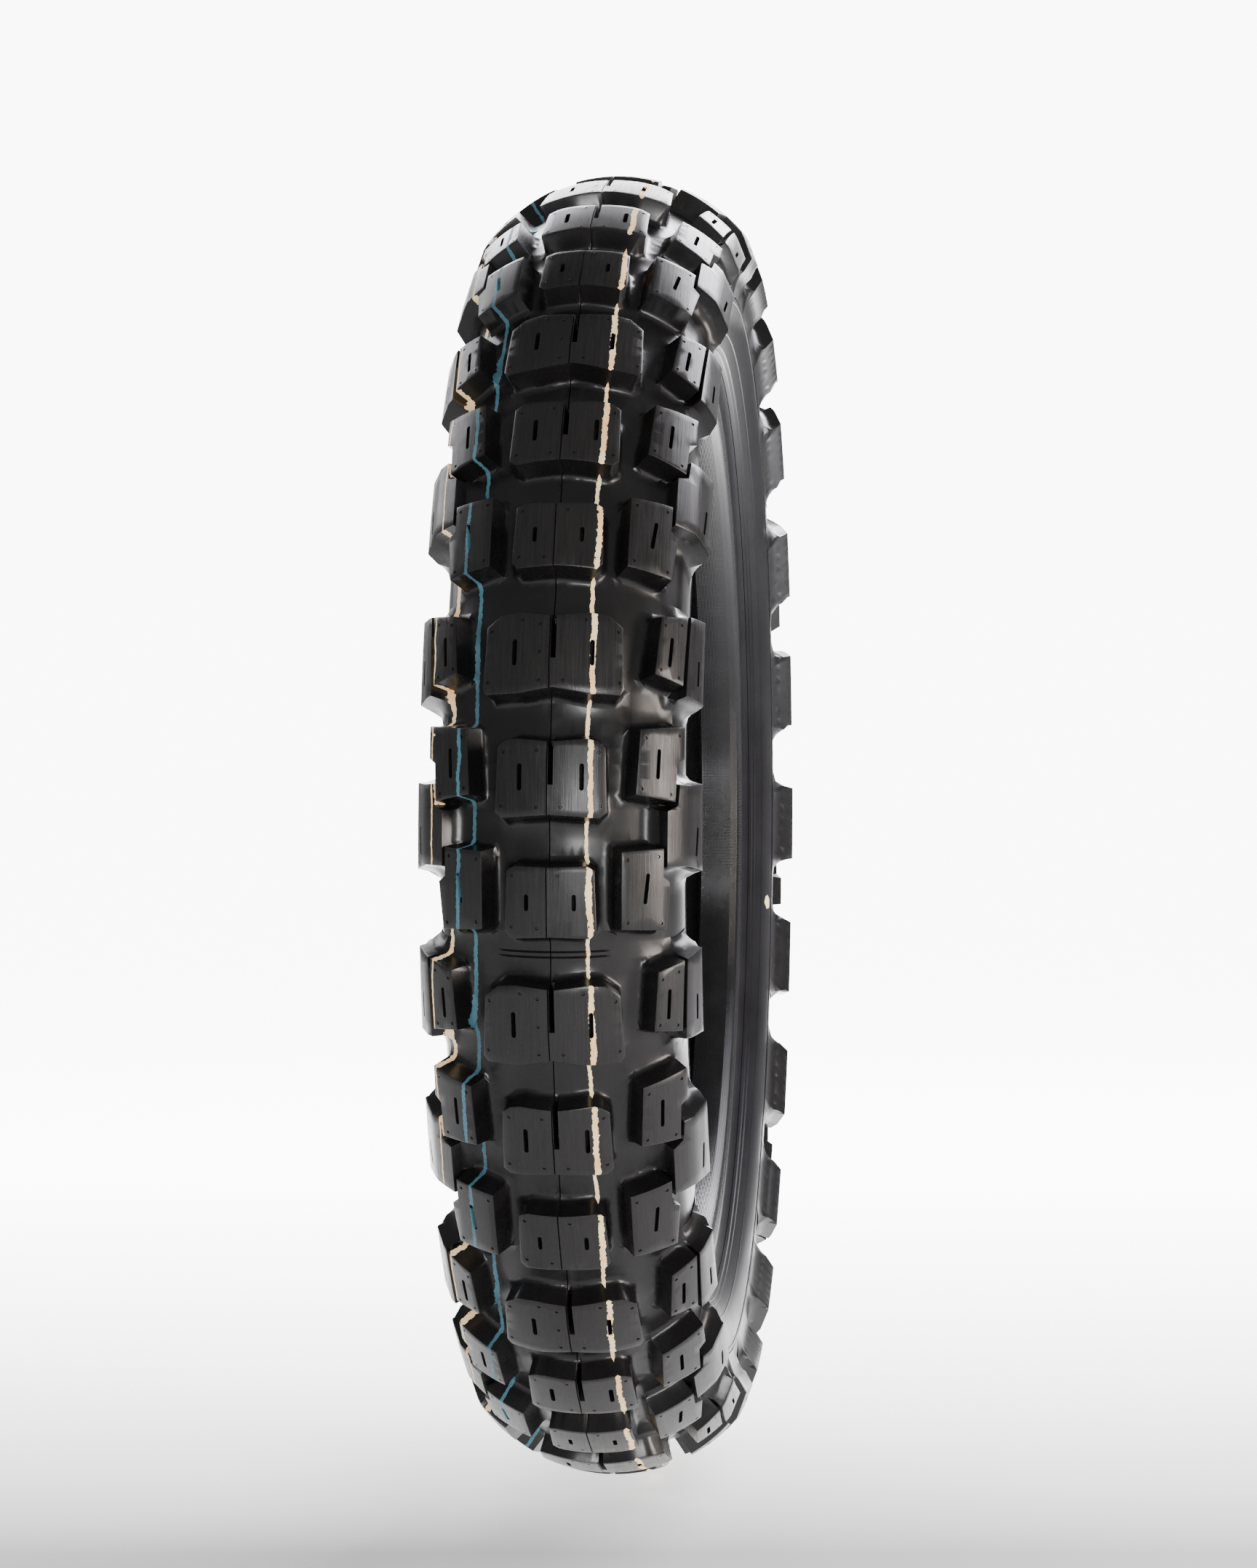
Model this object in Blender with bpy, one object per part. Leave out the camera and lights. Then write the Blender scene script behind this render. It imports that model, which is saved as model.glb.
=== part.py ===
"""Off-road motorcycle tyre, size 140/80-18, as its separate vulcanised layers.

The wheel axis is world Y, the tyre stands upright in Z, and the origin is the
wheel centre. Every profile is drawn for the right side as (a, r): a is the
distance from the centre plane along the axis and r is the radius, both in
millimetres. Rings are spun about the axis; the tread cap is laid out flat,
block by block, and wrapped onto the crown one pitch at a time.
"""

import math

import bmesh
import bpy
from mathutils import Matrix, Vector
from mathutils.geometry import delaunay_2d_cdt

MM = 0.001

# Distances below which points count as one (millimetres)
RING_WELD, TREAD_WELD = 0.01, 0.02
ON_EDGE, ON_CENTRE = 1e-3, 1e-6
TRIANGULATION_SNAP = 1e-4

# Overall size (millimetres, degrees)
OUTER_RADIUS = 340.0
CROWN_RADIUS = 82.0
KNOB_HEIGHT = 12.5
BEAD_SEAT_RADIUS = 228.6
FLANGE_HALF_WIDTH = 43.2
RIDGE_HALF_WIDTH = 57.6
RIDGE_RADIUS = 277.0

# Layers, from the carcass outwards
GAP = 0.3
PLY = 1.2
LINER = 1.2
BEAD_WRAP = 0.7
COVER = 1.5 * PLY + 2 * GAP
UNDER_TREAD = PLY / 2 + 4 * GAP + 3 * PLY

# Tread layout
PITCHES = 12
PITCH_ANGLE = 360.0 / PITCHES
SEAM_ANGLE = -7.1
LARGE_ROW, MEDIUM_ROW, SMALL_ROW = 16.7, 6.6, -3.3
SHOULDER_LINE = 72.0
TREAD_EDGE = 98.0
FACET_SLOPE = Vector((5.3, -14.3)).normalized()
DRAFT = 2.0
UNDERSIDE_DRAFT = 9.5
NOTCH_HALF_WIDTH = 1.2
SIPE_DRAFT = 0.25
CROWN_LINES = (17.0, SHOULDER_LINE)
TREAD_SHARP, RING_SHARP = 25.0, 35.0

# Rings
SEGMENTS = 24
SEGMENTS_PER_PITCH = SEGMENTS // PITCHES

CROWN_CENTRE = OUTER_RADIUS - CROWN_RADIUS
FLOOR_RADIUS = CROWN_RADIUS - KNOB_HEIGHT
MM_PER_DEGREE = math.radians(1.0) * OUTER_RADIUS

# Midline of the outer body ply, from the crown, down the sidewall, round the
# bead and up to the end of the turn-up. The first three stations are on an arc.
PLY_ARC_RADIUS = 61.6
PLY_ARC_STATIONS = (0.0, 0.4, 0.8)
PLY_SIDE = (
    (50.5, 293.5), (53.3, 284.0), (53.0, 275.0), (49.9, 267.6), (43.3, 260.0),
    (35.2, 252.6), (30.0, 246.8), (28.2, 240.0), (28.8, 234.4), (32.2, 231.6),
    (36.4, 231.9), (39.2, 235.6), (40.2, 241.6), (42.3, 249.0), (46.6, 256.6),
    (49.9, 264.0),
)
ARC_END, WIDEST, LOWER, TIP, MID, INSIDE_TOP = 2, 5, 6, 7, 8, 9
INSIDE, HEEL, OUTSIDE, TURN_LOW, TURN_MID, TURN_END = 10, 14, 15, 16, 17, 18

# Stations where the crown layers and the shoulder wedge end
INNER_BREAKER_END, OUTER_BREAKER_END = 1.86, 1.72
WEDGE_START, WEDGE_END = 1.92, 3.7
WRAP_START, WRAP_END = INSIDE_TOP + 0.3, OUTSIDE + 0.6

BEAD_BUNDLE = (
    (32.4, 234.2), (35.6, 234.2), (37.2, 237.0), (37.4, 240.3), (30.6, 240.3),
    (30.6, 236.6),
)

# Outside faces, drawn on the right side
TREAD_FLANK = ((52.4, 296.6), (54.6, 288.5), (54.2, RIDGE_RADIUS))
WEDGE_FLANK = ((51.7, 295.9), (53.9, 288.2))
SIDEWALL_FACE = ((46.3, 247.0), (50.0, 252.4), (54.2, 261.0), (56.9, 270.0))
SIDEWALL_TOP_SHARE = 0.82
FLANGE_FACE = ((FLANGE_HALF_WIDTH, 236.3), (FLANGE_HALF_WIDTH, 242.0), (46.0, 246.7))
CUSHION_FOOT_SHARE, CUSHION_HEAD_SHARE = 0.12, 0.93
CHAFER_START_SHARE = 0.06
BEAD_FACE = (
    (FLANGE_HALF_WIDTH, 235.6), (41.2, 231.0), (37.2, BEAD_SEAT_RADIUS - 0.2),
    (21.2, BEAD_SEAT_RADIUS - 1.3), (20.4, BEAD_SEAT_RADIUS + 0.8), (23.2, 237.5),
)
FILLER_TIP_SHARE = 0.35
FILLER_TIP_HALF = Vector((0.3, -0.2))
FILLER_SKIN = 0.2


# ---------------------------------------------------------------- profiles

def crown_point(radius, angle):
    """Point of an arc about the crown centre."""
    return Vector((radius * math.sin(angle), CROWN_CENTRE + radius * math.cos(angle)))


def ply_path():
    """Midline of the outer body ply on the right side."""
    arc = [crown_point(PLY_ARC_RADIUS, angle) for angle in PLY_ARC_STATIONS]
    return arc + [Vector(point) for point in PLY_SIDE]


def side_normal(start, end):
    """Unit normal that points into the tyre at the crown and out at the turn-up."""
    along = (end - start).normalized()
    return Vector((along.y, -along.x))


def offset_path(path, distance):
    """Parallel copy of the path, with mitred corners."""
    shifted = []
    for index, point in enumerate(path):
        normals = []
        if index > 0:
            normals.append(side_normal(path[index - 1], point))
        if index < len(path) - 1:
            normals.append(side_normal(point, path[index + 1]))
        if index == 0 and abs(point.x) < ON_CENTRE:
            normals = [Vector((0.0, -1.0))]
        mean = sum(normals, Vector((0.0, 0.0))).normalized()
        shifted.append(point + mean * (distance / mean.dot(normals[0])))
    return shifted


def cut_path(points, start, end):
    """Part of a path between two stations, which may be fractions."""
    def at(station):
        index = min(int(station), len(points) - 2)
        return points[index].lerp(points[index + 1], station - index)

    first = math.floor(start) + 1
    last = math.ceil(end) - 1
    return [at(start)] + points[first:last + 1] + [at(end)]


def side_ribbon(near, far, start, end):
    """Closed profile of one strip beside the ply path, on the right side."""
    path = ply_path()
    inner = cut_path(offset_path(path, near), start, end)
    outer = cut_path(offset_path(path, far), start, end)
    return inner + outer[::-1]


def full_ribbon(near, far, end):
    """Closed profile of a layer that crosses the crown from side to side."""
    path = ply_path()
    profile = []
    for distance, direction in ((near, 1), (far, -1)):
        right = cut_path(offset_path(path, distance), 0, end)
        left = [mirrored(point) for point in right[:0:-1]]
        profile += (left + right)[::direction]
    return profile


def mirrored(point):
    return Vector((-point[0], point[1]))


# ---------------------------------------------------------------- meshes

def make_material(name, colour, roughness, metallic=0.0):
    material = bpy.data.materials.new(name)
    material.use_nodes = True
    shader = material.node_tree.nodes["Principled BSDF"]
    shader.inputs["Base Color"].default_value = (*colour, 1.0)
    shader.inputs["Roughness"].default_value = roughness
    shader.inputs["Metallic"].default_value = metallic
    material.diffuse_color = (*colour, 1.0)
    return material


def add_object(name, mesh_builder, material, smooth_angle=RING_SHARP):
    """Turn a finished bmesh into a shaded object under the wheel centre."""
    bmesh.ops.recalc_face_normals(mesh_builder, faces=mesh_builder.faces)
    mesh = bpy.data.meshes.new(name)
    mesh_builder.to_mesh(mesh)
    mesh_builder.free()
    mesh.shade_smooth()
    mesh.set_sharp_from_angle(angle=math.radians(smooth_angle))
    mesh.materials.append(material)
    part = bpy.data.objects.new(name, mesh)
    bpy.context.collection.objects.link(part)
    return part


def around_axis(a, r, degrees):
    """World position of a profile point at an angle round the wheel axis."""
    angle = math.radians(degrees)
    return Vector((r * math.cos(angle), a, r * math.sin(angle))) * MM


def add_ring(name, profile, material):
    """Spin a closed profile right round the wheel axis."""
    builder = bmesh.new()
    corners = [builder.verts.new(around_axis(a, r, SEAM_ANGLE)) for a, r in profile]
    loop = [
        builder.edges.new((corners[index - 1], corner))
        for index, corner in enumerate(corners)
    ]
    bmesh.ops.spin(
        builder, geom=corners + loop, cent=(0.0, 0.0, 0.0), axis=(0.0, 1.0, 0.0),
        angle=math.tau, steps=SEGMENTS, use_merge=True,
    )
    bmesh.ops.remove_doubles(builder, verts=builder.verts, dist=RING_WELD * MM)
    return add_object(name, builder, material)


def add_ring_pair(name, profile, material):
    """The same ring on both sides of the tyre."""
    add_ring(name + "_right", profile, material)
    add_ring(name + "_left", [mirrored(point) for point in profile], material)


# ---------------------------------------------------------------- tread cap

def knob_top(across):
    """Point of the knob-top line, at a distance measured across the tread."""
    if across <= SHOULDER_LINE:
        return crown_point(CROWN_RADIUS, across / CROWN_RADIUS)
    crease = crown_point(CROWN_RADIUS, SHOULDER_LINE / CROWN_RADIUS)
    return crease + FACET_SLOPE * (across - SHOULDER_LINE)


def groove_floor(across):
    """Point of the groove floor, which turns down the side to the ridge."""
    if across <= SHOULDER_LINE:
        return crown_point(FLOOR_RADIUS, across / CROWN_RADIUS)
    start = crown_point(FLOOR_RADIUS, SHOULDER_LINE / CROWN_RADIUS)
    slope = SHOULDER_LINE / CROWN_RADIUS
    reach = (RIDGE_HALF_WIDTH - start.x) / math.cos(slope)
    bend = Vector((RIDGE_HALF_WIDTH, start.y - reach * math.sin(slope)))
    end = Vector((RIDGE_HALF_WIDTH, RIDGE_RADIUS))
    share = (across - SHOULDER_LINE) / (TREAD_EDGE - SHOULDER_LINE)
    return start.lerp(bend, share).lerp(bend.lerp(end, share), share)


def wrap(flat, raised):
    """Wrap a flat tread point (along, across) onto the tyre."""
    across = abs(flat.y)
    point = knob_top(across) if raised else groove_floor(across)
    return around_axis(math.copysign(point.x, flat.y), point.y, flat.x / MM_PER_DEGREE)


def outline(row, corners):
    """Flat outline from (across, degrees from the row) corners."""
    return [Vector((MM_PER_DEGREE * (row + turn), across)) for across, turn in corners]


def centre_block(row, half, notch=None):
    """Symmetric block over the centre plane, with an optional moulded notch."""
    corners = list(half)
    if notch is not None:
        mouth = (NOTCH_HALF_WIDTH, half[0][1])
        corners = [(NOTCH_HALF_WIDTH, notch), mouth] + corners[1:]
    left = [(-across, turn) for across, turn in corners[::-1] if across > 0.0]
    return outline(row, corners + left)


def side_block(row, corners, side):
    ordered = corners if side > 0 else corners[::-1]
    return outline(row, [(side * across, turn) for across, turn in ordered])


def grow(points, drafts):
    """Base outline: each edge of the top outline moved out by its draft."""
    twist = sum(
        start.cross(end) for start, end in zip(points, points[1:] + points[:1])
    )
    sense = math.copysign(1.0, twist)
    lines = []
    for start, end, draft in zip(points, points[1:] + points[:1], drafts):
        along = (end - start).normalized()
        normal = Vector((along.y, -along.x)) * sense
        lines.append((start + normal * draft, along))
    corners = []
    for index, (origin, along) in enumerate(lines):
        before, heading = lines[index - 1]
        reach = (origin - before).cross(along) / heading.cross(along)
        corners.append(before + heading * reach)
    return corners


def centre_blocks():
    """Top outlines and drafts of the three blocks on the centre plane."""
    large = centre_block(
        LARGE_ROW,
        ((0.0, 3.05), (17.0, 3.35), (26.0, 3.2), (33.0, 2.3), (34.6, -2.8),
         (32.6, -3.3), (17.0, -3.3), (0.0, -2.85)),
        notch=-0.45,
    )
    medium = centre_block(
        MEDIUM_ROW,
        ((0.0, 2.9), (17.0, 3.15), (22.0, 3.0), (26.0, 2.5), (26.9, -2.7),
         (23.5, -3.15), (10.0, -3.0), (0.0, -2.9)),
        notch=-0.5,
    )
    small = centre_block(
        SMALL_ROW,
        ((0.0, 2.85), (17.0, 2.95), (21.0, 2.6), (22.0, -2.3), (19.0, -2.85),
         (0.0, -2.7)),
    )
    return large, medium, small


def block_drafts(points):
    """Steep walls in the notch, drafted walls elsewhere."""
    return [
        SIPE_DRAFT if max(abs(start.y), abs(end.y)) < 2 * NOTCH_HALF_WIDTH else DRAFT
        for start, end in zip(points, points[1:] + points[:1])
    ]


def side_blocks():
    """Right-hand outlines with a draft for the edge after each corner."""
    narrow, wide, under = SIPE_DRAFT, DRAFT, UNDERSIDE_DRAFT
    return (
        # Beside the large block, then its shoulder block across a sipe
        (LARGE_ROW, ((53.0, 3.9), (68.5, 4.5), (66.5, -1.75), (50.2, -1.15)),
         (wide, narrow, wide, wide)),
        (LARGE_ROW, ((70.4, 4.6), (85.5, 5.05), (85.5, -2.9), (68.6, -2.6)),
         (wide, under, wide, narrow)),
        # Beside the medium block, with a step for the shoulder block below it
        (MEDIUM_ROW,
         ((43.3, 4.15), (68.4, 4.8), (68.4, 2.0), (64.0, 1.5), (63.0, -1.7),
          (41.3, -1.2)),
         (wide, wide, wide, narrow, wide, wide)),
        (SMALL_ROW,
         ((65.6, 9.7), (72.0, 9.7), (86.8, 10.0), (86.8, 2.1), (71.0, 2.7),
          (58.2, 2.7), (58.4, 7.4), (64.6, 7.9)),
         (wide, wide, under, wide, wide, narrow, narrow, narrow)),
        # Beside the small block, with a step for the shoulder block above it
        (SMALL_ROW,
         ((34.2, 4.05), (56.4, 4.3), (56.2, 1.9), (60.6, 1.4), (57.6, -2.6),
          (34.0, -2.25)),
         (wide, narrow, narrow, wide, wide, wide)),
    )


def tread_outlines():
    """Every block of one pitch, as a pair of top and base outlines."""
    pairs = [(top, grow(top, block_drafts(top))) for top in centre_blocks()]
    for row, corners, drafts in side_blocks():
        right = side_block(row, corners, 1)
        base = grow(right, drafts)
        pairs.append((right, base))
        pairs.append(tuple(
            [Vector((point.x, -point.y)) for point in shape[::-1]]
            for shape in (right, base)
        ))
    return pairs


def pitch_frame():
    """Border of the flat pitch and the lines that carry the crown's curve."""
    start = SEAM_ANGLE * MM_PER_DEGREE
    step = PITCH_ANGLE / SEGMENTS_PER_PITCH * MM_PER_DEGREE
    stations = [start + step * index for index in range(SEGMENTS_PER_PITCH + 1)]
    levels = [0.0]
    for level in CROWN_LINES:
        levels += [level, -level]
    lines = [[Vector((stations[0], level)), Vector((stations[-1], level))]
             for level in levels]
    lines += [[Vector((along, edge)) for along in stations]
              for edge in (TREAD_EDGE, -TREAD_EDGE)]
    rungs = sorted(levels + [TREAD_EDGE, -TREAD_EDGE])
    lines += [[Vector((along, level)) for level in rungs]
              for along in (stations[0], stations[-1])]
    return lines


def inside(point, shape):
    """Whether a flat point lies in or on an outline."""
    crossings = False
    for start, end in zip(shape, shape[1:] + shape[:1]):
        edge = end - start
        share = (point - start).dot(edge) / edge.length_squared
        nearest = start + edge * min(max(share, 0.0), 1.0)
        if (point - nearest).length < ON_EDGE:
            return True
        if (start.y > point.y) != (end.y > point.y):
            level = start.x + (point.y - start.y) / edge.y * edge.x
            crossings ^= point.x < level
    return crossings


def flat_pitch():
    """Triangulate one flat pitch; returns corners, raised flags and faces."""
    corners, edges = [], []

    def add_line(points, closed):
        first = len(corners)
        corners.extend(points)
        edges.extend((first + index, first + index + 1) for index in range(len(points) - 1))
        if closed:
            edges.append((len(corners) - 1, first))

    outlines = tread_outlines()
    for top, base in outlines:
        add_line(top, True)
        add_line(base, True)
    for line in pitch_frame():
        add_line(line, False)
    found, _, faces, *_ = delaunay_2d_cdt(corners, edges, [], 0, TRIANGULATION_SNAP)
    raised = [any(inside(point, top) for top, _ in outlines) for point in found]
    return found, raised, faces


def tread_inner_profile():
    """Underside of the tread cap, from the left ridge to the right ridge."""
    crown = offset_path(ply_path(), -UNDER_TREAD)[:ARC_END + 1]
    right = crown + [Vector(point) for point in TREAD_FLANK]
    right.append(Vector((RIDGE_HALF_WIDTH, RIDGE_RADIUS)))
    return [mirrored(point) for point in right[:0:-1]] + right


def add_tread_cap(material):
    """Tread cap with all its knobs, moulded as one ring."""
    builder = bmesh.new()
    found, raised, faces = flat_pitch()
    corners = [builder.verts.new(wrap(point, lift)) for point, lift in zip(found, raised)]
    for face in faces:
        builder.faces.new([corners[index] for index in face])
    step = PITCH_ANGLE / SEGMENTS_PER_PITCH
    rows = [
        [builder.verts.new(around_axis(a, r, SEAM_ANGLE + step * index))
         for a, r in tread_inner_profile()]
        for index in range(SEGMENTS_PER_PITCH + 1)
    ]
    for low, high in zip(rows, rows[1:]):
        for index in range(len(low) - 1):
            builder.faces.new((low[index], low[index + 1], high[index + 1], high[index]))
    pitch = builder.verts[:] + builder.edges[:] + builder.faces[:]
    for index in range(1, PITCHES):
        copy = bmesh.ops.duplicate(builder, geom=pitch)["geom"]
        turned = [item for item in copy if isinstance(item, bmesh.types.BMVert)]
        turn = Matrix.Rotation(-math.radians(PITCH_ANGLE * index), 4, "Y")
        bmesh.ops.transform(builder, matrix=turn, verts=turned)
    bmesh.ops.remove_doubles(builder, verts=builder.verts, dist=TREAD_WELD * MM)
    return add_object("tread_cap", builder, material, smooth_angle=TREAD_SHARP)


# ---------------------------------------------------------------- layers

def add_crown_layers(rubber, cord):
    """Rubber and cord strips between the body plies and the tread cap."""
    first = PLY / 2 + GAP
    second = first + PLY + GAP
    third = second + PLY + GAP
    inner = full_ribbon(-first, -first - PLY, INNER_BREAKER_END)
    outer = full_ribbon(-second, -second - PLY, OUTER_BREAKER_END)
    base = full_ribbon(-third, -third - PLY, ARC_END)
    add_ring("breaker_ply_inner", inner, cord)
    add_ring("breaker_ply_outer", outer, cord)
    add_ring("undertread", base, rubber)


def wedge_profile():
    """Soft wedge that carries the breaker edges at the shoulder."""
    path = ply_path()
    below = cut_path(offset_path(path, -(PLY / 2 + GAP)), WEDGE_START, WEDGE_END)
    under_strip = -(UNDER_TREAD - GAP - PLY)
    above = cut_path(offset_path(path, under_strip), WEDGE_START, ARC_END)
    flank = [Vector(point) for point in WEDGE_FLANK]
    return below + flank[::-1] + above[::-1]


def sidewall_profile():
    """Sidewall rubber, from the rim line up to the ridge under the knobs."""
    path = ply_path()
    cover = offset_path(path, COVER)
    carcass = offset_path(path, -(PLY / 2 + GAP))
    ridge = RIDGE_RADIUS - GAP
    outer = [Vector(point) for point in SIDEWALL_FACE]
    outer.append(Vector((RIDGE_HALF_WIDTH, ridge)))
    top = carcass[WIDEST - 1].lerp(carcass[WIDEST], SIDEWALL_TOP_SHARE)
    over_turn_up = cover[TURN_END] + Vector((GAP / 3, GAP))
    return outer + [
        Vector((top.x, ridge)), carcass[WIDEST], carcass[LOWER], over_turn_up,
        cover[TURN_MID], cover[TURN_LOW],
    ]


def rim_cushion_profile():
    """Abrasion strip with the flat face that the rim flange bears on."""
    cover = offset_path(ply_path(), COVER)
    foot = cover[HEEL].lerp(cover[OUTSIDE], CUSHION_FOOT_SHARE)
    head = cover[OUTSIDE].lerp(cover[TURN_LOW], CUSHION_HEAD_SHARE)
    return [foot] + [Vector(point) for point in FLANGE_FACE] + [head, cover[OUTSIDE]]


def chafer_profile():
    """Bead cover: inside edge, toe, tapered bead seat and heel."""
    path = ply_path()
    cover = offset_path(path, COVER)
    liner_face = offset_path(path, COVER + LINER)
    start = cover[INSIDE_TOP].lerp(cover[INSIDE], CHAFER_START_SHARE)
    top = liner_face[INSIDE_TOP].lerp(liner_face[INSIDE], CHAFER_START_SHARE)
    surface = [Vector(point) for point in BEAD_FACE]
    return [start] + cover[INSIDE:HEEL + 1] + surface + [top]


def filler_profile():
    """Apex that tapers from the bead bundle up between ply and turn-up."""
    path = ply_path()
    wrapped = offset_path(path, -(PLY / 2 + 2 * GAP + BEAD_WRAP))
    bare = offset_path(path, -(PLY / 2 + GAP + FILLER_SKIN))
    base = [Vector((point[0], point[1] + GAP)) for point in BEAD_BUNDLE[3:5]]
    tip = path[TIP].lerp(path[LOWER], FILLER_TIP_SHARE).lerp(path[TURN_END], 0.5)
    inboard = [wrapped[INSIDE_TOP], wrapped[MID], bare[TIP], tip - FILLER_TIP_HALF]
    outboard = [tip + FILLER_TIP_HALF, bare[TURN_MID], wrapped[TURN_LOW],
                wrapped[OUTSIDE]]
    return base + inboard + outboard


def add_beads(rubber, cord, steel, chafer):
    """Steel hoops with their wraps, fillers and covers, on both sides."""
    near = -(PLY / 2 + GAP)
    wrap_strip = side_ribbon(near, near - BEAD_WRAP, WRAP_START, WRAP_END)
    add_ring_pair("bead_bundle", [Vector(point) for point in BEAD_BUNDLE], steel)
    add_ring_pair("bead_wrap", wrap_strip, cord)
    add_ring_pair("bead_filler", filler_profile(), rubber)
    add_ring_pair("chafer", chafer_profile(), chafer)
    add_ring_pair("rim_cushion", rim_cushion_profile(), rubber)


def add_carcass(rubber, cord, liner):
    """Inner liner and the two body plies, which turn up round the beads."""
    half = PLY / 2
    add_ring("body_ply_outer", full_ribbon(-half, half, TURN_END), cord)
    add_ring("body_ply_inner", full_ribbon(half + GAP, half + GAP + PLY, TURN_END), cord)
    add_ring("inner_liner", full_ribbon(COVER, COVER + LINER, INSIDE_TOP), liner)
    add_ring_pair("sidewall", sidewall_profile(), rubber)
    add_ring_pair("shoulder_wedge", wedge_profile(), rubber)


def clear_scene():
    for old in list(bpy.data.objects):
        bpy.data.objects.remove(old)


def build():
    clear_scene()
    tread = make_material("tread_rubber", (0.016, 0.015, 0.015), 0.48)
    rubber = make_material("sidewall_rubber", (0.018, 0.018, 0.020), 0.42)
    liner = make_material("butyl_liner", (0.022, 0.022, 0.023), 0.55)
    cord = make_material("rubbered_nylon_cord", (0.055, 0.046, 0.034), 0.7)
    chafer = make_material("chafer_fabric_rubber", (0.020, 0.020, 0.021), 0.6)
    steel = make_material("bronzed_bead_wire", (0.42, 0.29, 0.15), 0.35, metallic=1.0)
    add_tread_cap(tread)
    add_crown_layers(rubber, cord)
    add_carcass(rubber, cord, liner)
    add_beads(rubber, cord, steel, chafer)


build()
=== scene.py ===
"""Looks of the off-road motorcycle tyre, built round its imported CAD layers.

The wheel axis is world Y and the origin is the wheel centre. Profiles are drawn for
the right side as (a, r): the distance from the centre plane along the axis, and the
radius, in millimetres. The tread is drawn flat as (along, across) and wrapped.
"""

import math

import bmesh
import bpy
import numpy as np
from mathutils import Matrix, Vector
from mathutils.geometry import delaunay_2d_cdt


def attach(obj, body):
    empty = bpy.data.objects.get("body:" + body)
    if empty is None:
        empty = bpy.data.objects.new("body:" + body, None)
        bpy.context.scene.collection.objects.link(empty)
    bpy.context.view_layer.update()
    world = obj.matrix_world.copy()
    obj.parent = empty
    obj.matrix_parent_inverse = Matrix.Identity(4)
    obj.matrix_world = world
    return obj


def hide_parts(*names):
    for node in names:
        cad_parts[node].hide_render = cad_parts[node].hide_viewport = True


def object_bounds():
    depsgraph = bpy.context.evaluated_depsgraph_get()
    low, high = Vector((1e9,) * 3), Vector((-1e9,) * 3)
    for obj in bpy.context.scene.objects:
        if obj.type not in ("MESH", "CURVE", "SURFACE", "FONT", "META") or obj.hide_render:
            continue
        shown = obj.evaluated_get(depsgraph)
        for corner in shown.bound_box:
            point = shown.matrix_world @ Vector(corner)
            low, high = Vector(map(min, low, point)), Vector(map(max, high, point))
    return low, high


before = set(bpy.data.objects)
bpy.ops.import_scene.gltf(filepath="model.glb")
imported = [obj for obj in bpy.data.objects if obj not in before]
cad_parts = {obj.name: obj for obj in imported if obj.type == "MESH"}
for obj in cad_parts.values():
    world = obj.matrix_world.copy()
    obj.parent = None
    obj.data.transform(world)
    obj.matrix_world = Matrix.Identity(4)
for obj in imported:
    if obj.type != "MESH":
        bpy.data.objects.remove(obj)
CAD_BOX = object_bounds()

MM = 0.001

# Overall size, as in the CAD, in millimetres and degrees
OUTER_RADIUS = 340.0
CROWN_RADIUS = 82.0
KNOB_HEIGHT = 12.5
BEAD_SEAT_RADIUS = 228.6
FLANGE_HALF_WIDTH = 43.2
RIDGE_HALF_WIDTH = 57.6
RIDGE_RADIUS = 277.0
GAP = 0.3
PLY = 1.2
LINER = 1.2
BEAD_WRAP = 0.7
COVER = 1.5 * PLY + 2 * GAP
OVER_PLY = PLY / 2 + GAP
UNDER_TREAD = PLY / 2 + 4 * GAP + 3 * PLY
PITCHES = 12
PITCH_ANGLE = 360.0 / PITCHES
SEAM_ANGLE = -7.1
LARGE_ROW, MEDIUM_ROW, SMALL_ROW = 16.7, 6.6, -3.3
SHOULDER_LINE = 72.0
TREAD_EDGE = 98.0
FACET_SLOPE = Vector((5.3, -14.3)).normalized()
DRAFT = 2.0
UNDERSIDE_DRAFT = 9.5
SIPE_DRAFT = 0.25
NOTCH_HALF_WIDTH = 1.2
CROWN_CENTRE = OUTER_RADIUS - CROWN_RADIUS
FLOOR_RADIUS = CROWN_RADIUS - KNOB_HEIGHT
MM_PER_DEGREE = math.radians(1.0) * OUTER_RADIUS

# Carcass on the right side, as (a, r). Stations are counted along the ply's midline
# from the crown centre; a fraction lies between two stations.
PLY_ARC_RADIUS = 61.6
PLY_ARC_STEP = 0.4
PLY_SIDE = (
    (50.5, 293.5), (53.3, 284.0), (53.0, 275.0), (49.9, 267.6), (43.3, 260.0),
    (35.2, 252.6), (30.0, 246.8), (28.2, 240.0), (28.8, 234.4), (32.2, 231.6),
    (36.4, 231.9), (39.2, 235.6), (40.2, 241.6), (42.3, 249.0), (46.6, 256.6),
    (49.9, 264.0),
)
ARC_END, WIDEST, LOWER, TIP, MID, INSIDE_TOP = 2, 5, 6, 7, 8, 9
HEEL, OUTSIDE, TURN_LOW, TURN_MID, TURN_END = 14, 15, 16, 17, 18
INNER_BREAKER_END, OUTER_BREAKER_END = 1.86, 1.72
WEDGE_START, WEDGE_END = 1.92, 3.7
WRAP_START, WRAP_END = INSIDE_TOP + 0.3, OUTSIDE + 0.6
SIDEWALL_TURN_UP = (TURN_LOW, TURN_END - 0.2)
SIDEWALL_TOP_SHARE = 0.82
CUSHION_BACK = (HEEL + 0.3, OUTSIDE + 0.8)
CUSHION_FOOT_SHARE, CUSHION_HEAD_SHARE = 0.12, 0.93
CHAFER_START = INSIDE_TOP + 0.06
FILLER_CLEARANCE = 0.2
FILLER_TIP_SHARES = (0.35, 0.5)
BEAD_BUNDLE = (
    (32.4, 234.2), (35.6, 234.2), (37.2, 237.0), (37.4, 240.3), (30.6, 240.3),
    (30.6, 236.6),
)
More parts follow.
